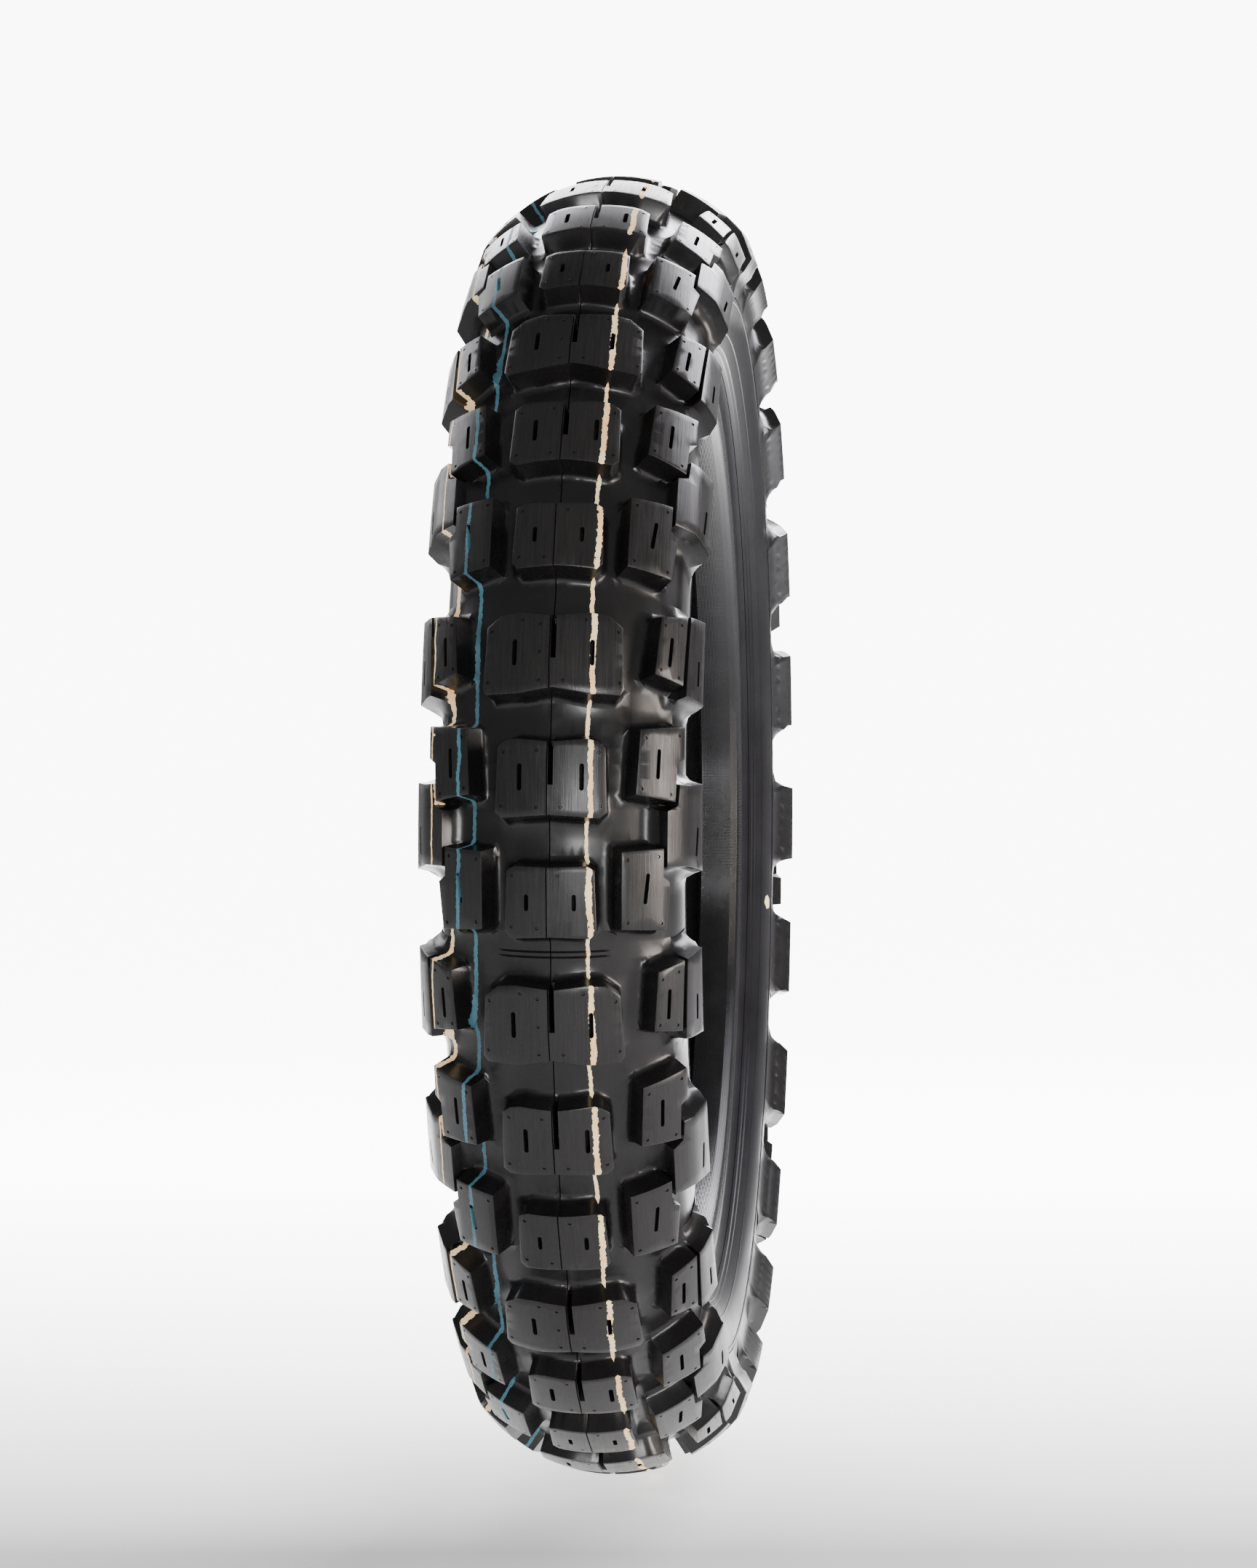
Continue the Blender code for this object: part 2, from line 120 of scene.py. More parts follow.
TREAD_FLANK = ((52.4, 296.6), (54.6, 288.5), (54.2, RIDGE_RADIUS))
WEDGE_FLANK = ((51.7, 295.9), (53.9, 288.2))
SIDEWALL_FACE = ((46.3, 247.0), (50.0, 252.4), (54.2, 261.0), (56.9, 270.0))
FLANGE_FACE = ((FLANGE_HALF_WIDTH, 236.3), (FLANGE_HALF_WIDTH, 242.0), (46.0, 246.7))
BEAD_FACE = (
    (FLANGE_HALF_WIDTH, 235.6), (41.2, 231.0), (37.2, BEAD_SEAT_RADIUS - 0.2),
    (21.2, BEAD_SEAT_RADIUS - 1.3), (20.4, BEAD_SEAT_RADIUS + 0.8), (23.2, 237.5),
)

# Raised rings on the sidewall: radius, half width and height. None stands out more than
# RIB_ROOM beyond the ridge.
SIDEWALL_RIBS = ((249.3, 0.45, 0.35), (251.6, 0.45, 0.35), (258.2, 0.35, 0.22), (274.3, 0.6, 0.4))
RIB_ROOM = 0.4

# Fineness of the visual model: steps round the wheel, to a stretch of a curve and along
# one pitch, and spacings on the flat tread
RING_STEPS = 180
PATH_STEPS = 4
FACE_STEPS, HEEL_STEPS, RIB_STEPS = 10, 6, 4
PITCH_STEPS = 15
CONTOUR_STEP = 4.5
GRID_ALONG, GRID_ACROSS = 7.5, 5.5
CREASE_STEPS = 6 * PITCH_STEPS
SLOT_END_STEPS, VENT_SIDES = 4, 8
EDGE_MARGIN = 0.3
MERGE_DISTANCE = 0.001
WELD_DISTANCE = 0.004
RING_SHARP_ANGLE, TREAD_SHARP_ANGLE = 32.0, 34.0

# Fine shape of the tread. Knob tops lie TOP_SINK under their CAD surface, so that
# nothing stands out of the CAD model's box.
TOP_SINK = 0.3
EDGE_WIDTH, EDGE_DROP = 0.4, 0.22
SLOT_DEPTH, SLOT_WALL = 7.0, 0.15
VENT_RADIUS, VENT_DEPTH, VENT_WALL = 0.9, 0.6, 0.25
VENT_MIRROR = 14.0

# The mould's parting line, a crease that is half as deep again on the groove floor
# and wanders by waves given as (waves to a pitch, swing)
CREASE_ACROSS, CREASE_HALF_WIDTH, CREASE_DEPTH = -1.65, 0.32, 0.7
CREASE_FLOOR_GAIN = 0.5
CREASE_WAVES = ((3.0, 0.10), (7.0, 0.06))

# Wear-indicator ribs. They stand only where the relief is deeper than RIB_FLOOR_SHARE of
# the knob height.
RIB_HALF_LENGTH, RIB_HALF_WIDTH, RIB_HEIGHT = 33.0, 0.55, 0.7
RIB_ANGLES = (21.95, 22.4)
RIBBED_PITCHES = (2, 5, 8, 11)
RIB_FLOOR_SHARE = 0.9

# How far down a block's straight wall goes (a share), the radius of its foot fillet, and
# how far out the loose points lie that carry the fillet. Blocks that reach further
# across than SHOULDER_REACH are shoulder blocks.
BLOCK_FOOT = (0.76, 4.0, (0.35, 1.0, 2.0, 3.4))
SHOULDER_FOOT = (0.45, 9.0, (0.5, 1.6, 3.2, 5.0, 7.0))
SHOULDER_REACH = 80.0

# Lines painted along the tread: distance across, half widths on the groove floor, walls
# and block tops, then two shades of paint. The second covers at most its share. The
# hidden inside of the tread stores OFF_TREAD as its distance across, clear of all lines.
# The paint glows a little, because the studio's light alone leaves it too dull.
CREAM, TAN = (1.0, 0.78, 0.46), (0.90, 0.46, 0.15)
TEAL, DEEP_TEAL = (0.055, 0.150, 0.195), (0.028, 0.070, 0.095)
PAINTED_LINES = (
    (18.9, (1.1, 0.0, 1.4), CREAM, TAN),
    (-47.6, (1.3, 0.9, 1.05), TEAL, DEEP_TEAL),
    (-66.3, (1.6, 1.6, 0.5), CREAM, TAN),
)
SECOND_SHADE_SHARE = 0.75
OFF_TREAD = 200.0
PAINT_GLOW = 0.45

# Round mark on the right sidewall: turn round the wheel, (a, r) and radius
BALANCE_DOT_ANGLE, BALANCE_DOT_PLACE, BALANCE_DOT_SIZE = 192.5, (55.9, 266.5), 3.6

# Each surface wanders between a dark and a light shade. Bloom greys the knob tops.
TREAD_SHADES = ((0.0060, 0.0056, 0.0059), (0.0110, 0.0103, 0.0107))
TREAD_BLOOM = (0.0175, 0.0165, 0.0162)
SIDEWALL_SHADES = ((0.0065, 0.0062, 0.0075), (0.0120, 0.0115, 0.0140))
CHAFER_SHADES = ((0.006, 0.006, 0.007), (0.012, 0.012, 0.013))
LINER_SHADES = ((0.019, 0.019, 0.020), (0.036, 0.036, 0.037))
CORD_SHADES = ((0.030, 0.026, 0.021), (0.075, 0.062, 0.044))
WIRE_SHADES = ((0.36, 0.24, 0.12), (0.50, 0.36, 0.20))
FLOOR_SHADES = ((0.71, 0.71, 0.71), (0.73, 0.73, 0.73))

# Knob tops and groove floor begin and are full at these shares of the knob height, and
# the shoulder blocks' outer sides at these distances across
TOP_BAND, FLOOR_BAND, SIDE_BAND = (0.90, 0.97), (0.35, 0.12), (84.0, 88.0)

# Roughness of the tread, and what is added on the tops, outer sides, floor, inside the
# slots and on the paint; wear makes the tops rougher or smoother by TOP_WEAR
TREAD_ROUGHNESS = (0.22, 0.28)
ROUGHER = (0.08, 0.06, 0.05, 0.6, 0.2)
TOP_WEAR = 0.05

# The part of a noise's range that it mostly keeps to, and how fast the streaks on the
# knob tops change across the tread (in millimetres) and round it (in metres)
NOISE_MIDDLE = (0.3, 0.7)
STREAK_ACROSS, STREAK_ROUND = 0.8, 30.0

# Fine marks in the surfaces, in radians to a metre: mould turning marks, the chafer's
# weave, wires, and cords (round the tyre, along its axis). Weave and cords are counted
# round the tyre at these radii, in metres.
TURNING_MARKS, WEAVE, WIRES = 6900.0, 3600.0, 6500.0
LINER_CORDS, PLY_CORDS = (2600.0, 3000.0), (5200.0, 6000.0)
WEAVE_RADIUS, CORD_RADIUS = BEAD_SEAT_RADIUS * MM, 0.3

# Studio, in metres: a light table in the floor runs away behind the tyre to a lit
# backdrop. Its glow starts and is full at distances behind the tyre; it has a half
# width, a soft edge and a widening. The room's light is a sum of smooth steps over the
# cosine of the angle from the backdrop's heading: start, end and level. A negative
# level takes light away, as dark flags beside the backdrop do.
FLOOR_SIZE = 40.0
FLOOR_GAP = 0.0005
TABLE_DIM, TABLE_GLOW = 0.16, 9.6
TABLE_START, TABLE_FULL = -0.25, 1.3
TABLE_EDGE, TABLE_SOFT, TABLE_WIDENING = 0.85, 0.45, 0.14
BACKDROP_HEADING = Vector((-0.9949, -0.1011, 0.0))
ROOM_STEPS = ((-2.0, -1.9, 0.28), (0.14, 0.30, -0.20), (0.60, 0.90, 0.62), (0.962, 0.983, 9.0))

# Soft boxes that face the wheel centre: name, place, size, power in watts and colour
COOL, COOLER = (0.97, 0.96, 1.0), (0.95, 0.93, 1.0)
WARM, WARMER, WHITE = (1.0, 0.95, 0.90), (1.0, 0.90, 0.82), (1.0, 1.0, 1.0)
SOFT_BOXES = (
    ("upper_back_box", (-1.98, -0.10, 1.15), (1.8, 0.75), 58.0, COOL),
    ("upper_right_box", (-1.29, 1.16, 1.355), (2.24, 0.75), 78.0, COOLER),
    ("upper_left_box", (-1.0, -1.65, 1.0), (1.3, 1.0), 17.0, COOL),
    ("front_strip", (2.36, 1.85, 0.25), (3.2, 0.5), 6.0, WARM),
    ("front_box", (3.05, 0.75, 0.22), (0.8, 0.25), 32.0, WHITE),
    ("side_strip", (1.0, 2.24, 0.0), (0.5, 1.4), 52.0, WARMER),
)

# Camera at the photograph's viewing angle: place in metres, heading, and its lens and
# sensor in millimetres
CAMERA_PLACE = (2.8988, 0.2970, 0.1505)
CAMERA_HEADING = Vector((-0.9939029, -0.1009810, -0.0442703))
CAMERA_LENS, CAMERA_SENSOR = 127.16, 36.0


# ---- flat shapes

def mirrored(point):
    """The same (a, r) point on the left side."""
    return Vector((-point[0], point[1]))


def vectors(points):
    return [Vector(point) for point in points]


def edges_of(points):
    """Each corner of an outline with the corner after it."""
    return zip(points, points[1:] + points[:1])


def winding(points):
    """1 for an outline that runs one way round and -1 for the other."""
    return math.copysign(1.0, sum(start.cross(end) for start, end in edges_of(points)))


def crown_point(radius, angle):
    """Point of an arc about the crown centre."""
    return Vector((radius * math.sin(angle), CROWN_CENTRE + radius * math.cos(angle)))


def smooth_curve(points, steps):
    """Catmull-Rom curve through the points."""
    padded = [2 * points[0] - points[1]] + list(points) + [2 * points[-1] - points[-2]]
    curve = []
    for before, start, end, after in zip(padded, padded[1:], padded[2:], padded[3:]):
        for step in range(steps):
            t = step / steps
            curve.append(0.5 * (
                2 * start + (end - before) * t
                + (2 * before - 5 * start + 4 * end - after) * t ** 2
                + (3 * start - before - 3 * end + after) * t ** 3
            ))
    return curve + [points[-1]]


def ply_path():
    """Midline of the outer body ply on the right side, PATH_STEPS to a station."""
    arc = [crown_point(PLY_ARC_RADIUS, PLY_ARC_STEP * step / PATH_STEPS)
           for step in range(ARC_END * PATH_STEPS)]
    before = crown_point(PLY_ARC_RADIUS, PLY_ARC_STEP)
    first = crown_point(PLY_ARC_RADIUS, PLY_ARC_STEP * ARC_END)
    side = smooth_curve([before, first] + vectors(PLY_SIDE), PATH_STEPS)
    return arc + side[PATH_STEPS:]


def offset_path(path, distance):
    """Parallel copy of a path; positive goes into the tyre at the crown."""
    shifted = []
    for index, point in enumerate(path):
        start = path[max(index - 1, 0)]
        end = path[min(index + 1, len(path) - 1)]
        along = (end - start).normalized()
        normal = Vector((along.y, -along.x)) if index else Vector((0.0, -1.0))
        shifted.append(point + normal * distance)
    return shifted


def cut_path(points, start, end):
    """Part of a fine path between two stations, which may be fractions."""
    def at(place):
        index = min(int(place), len(points) - 2)
        return points[index].lerp(points[index + 1], place - index)

    start, end = start * PATH_STEPS, end * PATH_STEPS
    first = math.floor(start) + 1
    last = math.ceil(end) - 1
    return [at(start)] + points[first:last + 1] + [at(end)]


def station(points, place):
    """Point of a fine path at a station."""
    return cut_path(points, place, place + 1)[0]


def side_ribbon(near, far, start, end):
    """Closed profile of one strip beside the ply path, on the right side."""
    path = ply_path()
    inner = cut_path(offset_path(path, near), start, end)
    outer = cut_path(offset_path(path, far), start, end)
    return inner + outer[::-1]


def full_ribbon(near, far, end):
    """Closed profile of a layer that crosses the crown from side to side."""
    path = ply_path()
    profile = []
    for distance, direction in ((near, 1), (far, -1)):
        right = cut_path(offset_path(path, distance), 0, end)
        left = [mirrored(point) for point in right[:0:-1]]
        profile += (left + right)[::direction]
    return profile


# ---- meshes

def add_object(name, data):
    """A new object in the scene."""
    thing = bpy.data.objects.new(name, data)
    bpy.context.collection.objects.link(thing)
    return thing


def add_piece(name, vertices, faces, material, node, sharp, stored=()):
    """A finished piece that stands for one CAD node, with values stored on its points."""
    mesh = bpy.data.meshes.new(name)
    mesh.from_pydata(vertices, [], faces)
    for label, values in stored:
        attribute = mesh.attributes.new(label, "FLOAT", "POINT")
        attribute.data.foreach_set("value", values.astype(np.float32))
    builder = bmesh.new()
    builder.from_mesh(mesh)
    bmesh.ops.remove_doubles(builder, verts=builder.verts, dist=WELD_DISTANCE * MM)
    bmesh.ops.recalc_face_normals(builder, faces=builder.faces)
    builder.to_mesh(mesh)
    builder.free()
    mesh.shade_smooth()
    mesh.set_sharp_from_angle(angle=math.radians(sharp))
    mesh.materials.append(material)
    piece = add_object(name, mesh)
    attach(piece, "root")
    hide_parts(node)


def add_ring(name, profile, material, node, slot):
    """A closed profile turned right round the wheel axis."""
    turn = np.linspace(0.0, math.tau, RING_STEPS, endpoint=False)[:, None]
    across, radius = np.array([tuple(point) for point in profile]).T
    count = len(profile)
    across = np.broadcast_to(across, (RING_STEPS, count))
    places = np.stack([radius * np.cos(turn), across, radius * np.sin(turn)], axis=-1)
    faces = []
    for step in range(RING_STEPS):
        here, there = step * count, (step + 1) % RING_STEPS * count
        for index in range(count):
            after = (index + 1) % count
            faces.append((here + index, here + after, there + after, there + index))
    vertices = places.reshape(-1, 3) * MM
    add_piece(name, vertices, faces, material, node, RING_SHARP_ANGLE)


def add_ring_pair(name, profile, material, node, slot):
    """The same ring on both sides of the tyre."""
    add_ring(name + "_right", profile, material, node + "_right", slot)
    other = [mirrored(point) for point in profile]
    add_ring(name + "_left", other, material, node + "_left", slot)


# ---- tread layout

def outline(row, corners):
    """Flat outline from (across, degrees from the row) corners."""
    return [Vector((MM_PER_DEGREE * (row + turn), across)) for across, turn in corners]


def other_side(point):
    """A flat point on the other side of the centre plane."""
    return Vector((point.x, -point.y))


def centre_block(row, half, notch=None):
    """Symmetric block over the centre plane, with an optional moulded notch."""
    corners = list(half)
    if notch is not None:
        mouth = (NOTCH_HALF_WIDTH, half[0][1])
        corners = [(NOTCH_HALF_WIDTH, notch), mouth] + corners[1:]
    left = [(-across, turn) for across, turn in corners[::-1] if across > 0.0]
    return outline(row, corners + left)


def grow(points, drafts):
    """Outline with each edge moved out by its own distance."""
    sense = winding(points)
    lines = []
    for (start, end), draft in zip(edges_of(points), drafts):
        along = (end - start).normalized()
        normal = Vector((along.y, -along.x)) * sense
        lines.append((start + normal * draft, along))
    corners = []
    for index, (origin, along) in enumerate(lines):
        before, heading = lines[index - 1]
        reach = (origin - before).cross(along) / heading.cross(along)
        corners.append(before + heading * reach)
    return corners


def centre_blocks():
    """Top outlines of the three blocks on the centre plane."""
    large = ((0.0, 3.05), (17.0, 3.35), (26.0, 3.2), (33.0, 2.3), (34.6, -2.8),
             (32.6, -3.3), (17.0, -3.3), (0.0, -2.85))
    medium = ((0.0, 2.9), (17.0, 3.15), (22.0, 3.0), (26.0, 2.5), (26.9, -2.7),
              (23.5, -3.15), (10.0, -3.0), (0.0, -2.9))
    small = ((0.0, 2.85), (17.0, 2.95), (21.0, 2.6), (22.0, -2.3), (19.0, -2.85), (0.0, -2.7))
    return (
        centre_block(LARGE_ROW, large, notch=-0.45),
        centre_block(MEDIUM_ROW, medium, notch=-0.5),
        centre_block(SMALL_ROW, small),
    )


def block_drafts(points):
    """Steep walls in the notch, drafted walls elsewhere."""
    return [SIPE_DRAFT if max(abs(start.y), abs(end.y)) < 2 * NOTCH_HALF_WIDTH else DRAFT
            for start, end in edges_of(points)]


def side_blocks():
    """Right-hand outlines as (row, corners, draft of the edge after each corner)."""
    narrow, wide, under = SIPE_DRAFT, DRAFT, UNDERSIDE_DRAFT
    return (
        (LARGE_ROW, ((53.0, 3.9), (68.5, 4.5), (66.5, -1.75), (50.2, -1.15)),
         (wide, narrow, wide, wide)),
        (LARGE_ROW, ((70.4, 4.6), (85.5, 5.05), (85.5, -2.9), (68.6, -2.6)),
         (wide, under, wide, narrow)),
        (MEDIUM_ROW,
         ((43.3, 4.15), (68.4, 4.8), (68.4, 2.0), (64.0, 1.5), (63.0, -1.7), (41.3, -1.2)),
         (wide, wide, wide, narrow, wide, wide)),
        (SMALL_ROW,
         ((65.6, 9.7), (72.0, 9.7), (86.8, 10.0), (86.8, 2.1), (71.0, 2.7),
          (58.2, 2.7), (58.4, 7.4), (64.6, 7.9)),
         (wide, wide, under, wide, wide, narrow, narrow, narrow)),
        (SMALL_ROW,
         ((34.2, 4.05), (56.4, 4.3), (56.2, 1.9), (60.6, 1.4), (57.6, -2.6), (34.0, -2.25)),
         (wide, narrow, narrow, wide, wide, wide)),
    )


def tread_blocks():
    """Top outline and drafts of every block of one pitch."""
    blocks = [(top, block_drafts(top)) for top in centre_blocks()]
    for row, corners, drafts in side_blocks():
        right = outline(row, corners)
        left = [other_side(point) for point in right]
        blocks += [(right, drafts), (left, drafts)]
    return blocks


def slot_outline(row, start, end, half_width):
    """Long slot with round ends, from its two end centres (across, turn)."""
    first, last = outline(row, (start, end))
    along = (last - first).normalized()
    side = Vector((-along.y, along.x))
    points = []
    for centre, facing in ((first, -1), (last, 1)):
        for step in range(SLOT_END_STEPS + 1):
            angle = math.pi * (step / SLOT_END_STEPS - 0.5)
            spread = side * math.sin(angle) * half_width * facing
            points.append(centre + along * facing * math.cos(angle) * half_width - spread)
    return points


def tread_slots():
    """Short sipes sunk in the block tops of one pitch."""
    right = (
        (LARGE_ROW, (18.6, 0.95), (18.6, -0.85), 1.1),
        (MEDIUM_ROW, (14.8, 1.0), (14.8, -0.8), 1.1),
        (SMALL_ROW, (11.3, 0.55), (11.3, -0.45), 1.0),
        (LARGE_ROW, (59.1, 2.1), (58.1, -0.2), 1.0),
        (MEDIUM_ROW, (53.3, 2.5), (52.7, 0.3), 1.0),
        (SMALL_ROW, (47.7, 2.1), (46.1, -0.1), 1.0),
        (LARGE_ROW, (79.3, 0.9), (78.9, -1.2), 0.9),
        (SMALL_ROW, (81.0, 5.9), (79.5, 3.6), 0.9),
    )
    slots = []
    for row, start, end, half_width in right:
        for side in (1, -1):
            ends = [(side * across, turn) for across, turn in (start, end)]
            slots.append(slot_outline(row, *ends, half_width))
    return slots


def vent_outlines():
    """Small round vent marks near the block corners and the parting line."""
    centre = outline(LARGE_ROW, (
        (30.5, 1.9), (31.8, -2.3), (15.0, 2.7), (5.0, -2.3), (-6.5, 2.3), (-6.5, 0.0),
        (-6.5, -2.3),
    ))
    centre += outline(MEDIUM_ROW, (
        (22.8, 2.1), (23.6, -2.2), (5.0, -2.3), (-6.5, 2.2), (-6.5, -2.3),
    ))
    centre += outline(SMALL_ROW, ((18.2, 2.2), (18.6, -1.9), (3.8, 2.2), (-6.2, -2.0)))
    sides = outline(LARGE_ROW, ((55.0, 3.2), (64.5, 3.6), (53.0, -0.7), (63.5, -1.1)))
    sides += outline(MEDIUM_ROW, ((46.0, 3.5), (64.8, 4.0), (44.2, -0.7), (60.0, -1.1)))
    sides += outline(SMALL_ROW, ((37.0, 3.4), (53.4, 3.6), (37.0, -1.7), (54.8, -2.0)))
    spots = list(centre)
    for spot in sides:
        spots += [spot, other_side(spot)]
    spots += [other_side(spot) for spot in centre if spot.y > VENT_MIRROR]
    angles = [math.tau * step / VENT_SIDES for step in range(VENT_SIDES)]
    rim = [VENT_RADIUS * Vector((math.cos(angle), math.sin(angle))) for angle in angles]
    return [[middle + point for point in rim] for middle in spots]


# ---- tread relief

def sides_of(shape):
    """Start and end of each edge of an outline, as arrays."""
    corners = np.array([tuple(corner) for corner in shape])
    return zip(corners, np.roll(corners, -1, axis=0))


def edge_distance(points, shape):
    """Distance of every point to the nearest edge of an outline."""
    best = np.full(len(points), np.inf)
    for start, end in sides_of(shape):
        edge = end - start
        share = np.clip(((points - start) @ edge) / (edge @ edge), 0.0, 1.0)
        nearest = start + share[:, None] * edge
        best = np.minimum(best, np.hypot(*(points - nearest).T))
    return best


def within(points, shape, slack=1e-4):
    """Whether each point lies in or on an outline."""
    crossings = np.zeros(len(points), bool)
    for start, end in sides_of(shape):
        straddles = (start[1] > points[:, 1]) != (end[1] > points[:, 1])
        rise = end[1] - start[1] if end[1] != start[1] else 1.0
        level = start[0] + (points[:, 1] - start[1]) / rise * (end[0] - start[0])
        crossings ^= straddles & (points[:, 0] < level)
    return crossings | (edge_distance(points, shape) < slack)


def between(points, inner, outer):
    """Share of the way from the inner outline to the outer one."""
    from_inner = edge_distance(points, inner)
    from_outer = edge_distance(points, outer)
    return from_inner / np.maximum(from_inner + from_outer, 1e-9)


def block_depth(points, flat, top, foot, shape):
    """Depth below the knob-top line around one block."""
    wall_share, fillet, _ = shape
    foot_depth = EDGE_DROP + (KNOB_HEIGHT - EDGE_DROP) * wall_share
    rest = KNOB_HEIGHT - foot_depth
    reach = math.sqrt(fillet ** 2 - (fillet - rest) ** 2)
    away = edge_distance(points, foot)
    sag = np.sqrt(np.maximum(fillet ** 2 - np.maximum(reach - away, 0.0) ** 2, 0.0))
    depth = np.where(away < reach, KNOB_HEIGHT - fillet + sag, KNOB_HEIGHT)
    in_foot, in_top, in_flat = within(points, foot), within(points, top), within(points, flat)
    wall = EDGE_DROP + (foot_depth - EDGE_DROP) * between(points, top, foot)
    depth = np.where(in_foot, wall, depth)
    depth = np.where(in_top, EDGE_DROP * between(points, flat, top), depth)
    return np.where(in_flat, 0.0, depth)


def relief(points, blocks, slots, vents):
    """Depth below the knob-top line at flat points, and which of them are in a slot."""
    depth = np.full(len(points), KNOB_HEIGHT)
    for block in blocks:
        depth = np.minimum(depth, block_depth(points, *block))
    in_slot = np.zeros(len(points), bool)
    for mouth, bottom in slots:
        carved = SLOT_DEPTH * (1.0 - between(points, bottom, mouth))
        carved = np.where(within(points, bottom), SLOT_DEPTH, carved)
        depth = np.where(within(points, mouth), np.maximum(depth, carved), depth)
        in_slot |= within(points, bottom)
    for _, middle in vents:
        depth = np.where(within(points, middle), depth + VENT_DEPTH, depth)
    off_line = np.abs(points[:, 1] - crease_across(points[:, 0]))
    deep = depth / KNOB_HEIGHT
    crease = np.maximum(1.0 - off_line / CREASE_HALF_WIDTH, 0.0) * CREASE_DEPTH
    depth = depth + crease * (1.0 + CREASE_FLOOR_GAIN * deep) + TOP_SINK * (1.0 - deep)
    return depth, in_slot


def rib_lift(points, depth):
    """Height of the wear-indicator ribs across the groove floor."""
    lift = np.zeros(len(points))
    deep = depth > RIB_FLOOR_SHARE * KNOB_HEIGHT
    on_floor = (np.abs(points[:, 1]) < RIB_HALF_LENGTH) & deep
    for angle in RIB_ANGLES:
        off_rib = np.abs(points[:, 0] - angle * MM_PER_DEGREE) / RIB_HALF_WIDTH
        lift = np.maximum(lift, on_floor * np.maximum(1.0 - off_rib, 0.0) * RIB_HEIGHT)
    return lift


def crease_across(along):
    """The parting line wanders a little, in step with the pitch."""
    turn = along / (PITCH_ANGLE * MM_PER_DEGREE) * math.tau
    across = CREASE_ACROSS
    for waves, swing in CREASE_WAVES:
        across = across + swing * np.sin(waves * turn)
    return across


def stepped(points, closed=True, step=CONTOUR_STEP):
    """The same outline with extra points along its long edges."""
    fine = []
    ends = points[1:] + points[:1] if closed else points[1:]
    for start, end in zip(points, ends):
        count = max(1, math.ceil((end - start).length / step))
        fine += [start.lerp(end, index / count) for index in range(count)]
    return fine if closed else fine + [points[-1]]


def halo(shape, distance):
    """Loose points at a distance outside an outline, for its foot fillet."""
    corners = stepped(shape)
    sense = winding(corners)
    points = []
    for index, corner in enumerate(corners):
        heading = corners[(index + 1) % len(corners)] - corners[index - 1]
        along = heading.normalized()
        points.append(corner + Vector((along.y, -along.x)) * sense * distance)
    return points


def pitch_shapes():
    """Nested outlines of blocks, slots and vents in one pitch."""
    blocks = []
    for top, drafts in tread_blocks():
        at_shoulder = max(abs(corner.y) for corner in top) > SHOULDER_REACH
        shape = SHOULDER_FOOT if at_shoulder else BLOCK_FOOT
        flat = grow(top, [-EDGE_WIDTH * min(draft, 1.0) for draft in drafts])
        foot = grow(top, [draft * shape[0] for draft in drafts])
        blocks.append((flat, top, foot, shape))
    slots = [(mouth, grow(mouth, [-SLOT_WALL] * len(mouth))) for mouth in tread_slots()]
    vents = [(rim, grow(rim, [-VENT_WALL] * len(rim))) for rim in vent_outlines()]
    return blocks, slots, vents


def flat_pitch():
    """One flat pitch in triangles: points, faces, depths, and which points are in a slot."""
    blocks, slots, vents = pitch_shapes()
    corners, edges = [], []

    def add_line(points, closed=False):
        first = len(corners)
        corners.extend(points)
        edges.extend((first + i, first + i + 1) for i in range(len(points) - 1))
        if closed:
            edges.append((len(corners) - 1, first))

    for flat, top, foot, _ in blocks:
        for line in (flat, top, foot):
            add_line(stepped(line), closed=True)
    for shapes in slots + vents:
        for shape in shapes:
            add_line(shape, closed=True)
    start = SEAM_ANGLE * MM_PER_DEGREE
    length = PITCH_ANGLE * MM_PER_DEGREE
    along = np.linspace(start, start + length, PITCH_STEPS + 1)
    edge_count = round(2 * TREAD_EDGE / GRID_ACROSS)
    across = np.linspace(-TREAD_EDGE, TREAD_EDGE, edge_count + 1)
    for edge in (-TREAD_EDGE, TREAD_EDGE):
        add_line([Vector((place, edge)) for place in along])
    for end in (along[0], along[-1]):
        add_line([Vector((end, level)) for level in across])
    fine_along = np.linspace(start, start + length, CREASE_STEPS + 1)
    for side in (-1, 0, 1):
        offset = side * CREASE_HALF_WIDTH
        add_line([Vector((place, crease_across(place) + offset)) for place in fine_along])
    for angle in RIB_ANGLES:
        for side in (-1, 0, 1):
            place = angle * MM_PER_DEGREE + side * RIB_HALF_WIDTH
            ends = [Vector((place, level)) for level in (-RIB_HALF_LENGTH, RIB_HALF_LENGTH)]
            add_line(stepped(ends, closed=False))
    loose = []
    for _, _, foot, shape in blocks:
        for distance in shape[2]:
            loose += halo(foot, distance)
    count = round(length / GRID_ALONG)
    for step in range(1, count):
        loose += [Vector((start + length * step / count, level)) for level in across[1:-1]]
    corners += [point for point in loose
                if start + EDGE_MARGIN < point.x < start + length - EDGE_MARGIN
                and abs(point.y) < TREAD_EDGE - EDGE_MARGIN]
    found, _, faces, *_ = delaunay_2d_cdt(corners, edges, [], 0, MERGE_DISTANCE)
    points = np.array([tuple(point) for point in found])
    return points, faces, *relief(points, blocks, slots, vents)


def knob_top(across):
    """The knob-top line as arrays of a and r, at distances across the tread."""
    turn = np.minimum(across, SHOULDER_LINE) / CROWN_RADIUS
    beyond = np.maximum(across - SHOULDER_LINE, 0.0)
    a = CROWN_RADIUS * np.sin(turn) + FACET_SLOPE.x * beyond
    r = CROWN_CENTRE + CROWN_RADIUS * np.cos(turn) + FACET_SLOPE.y * beyond
    return a, r


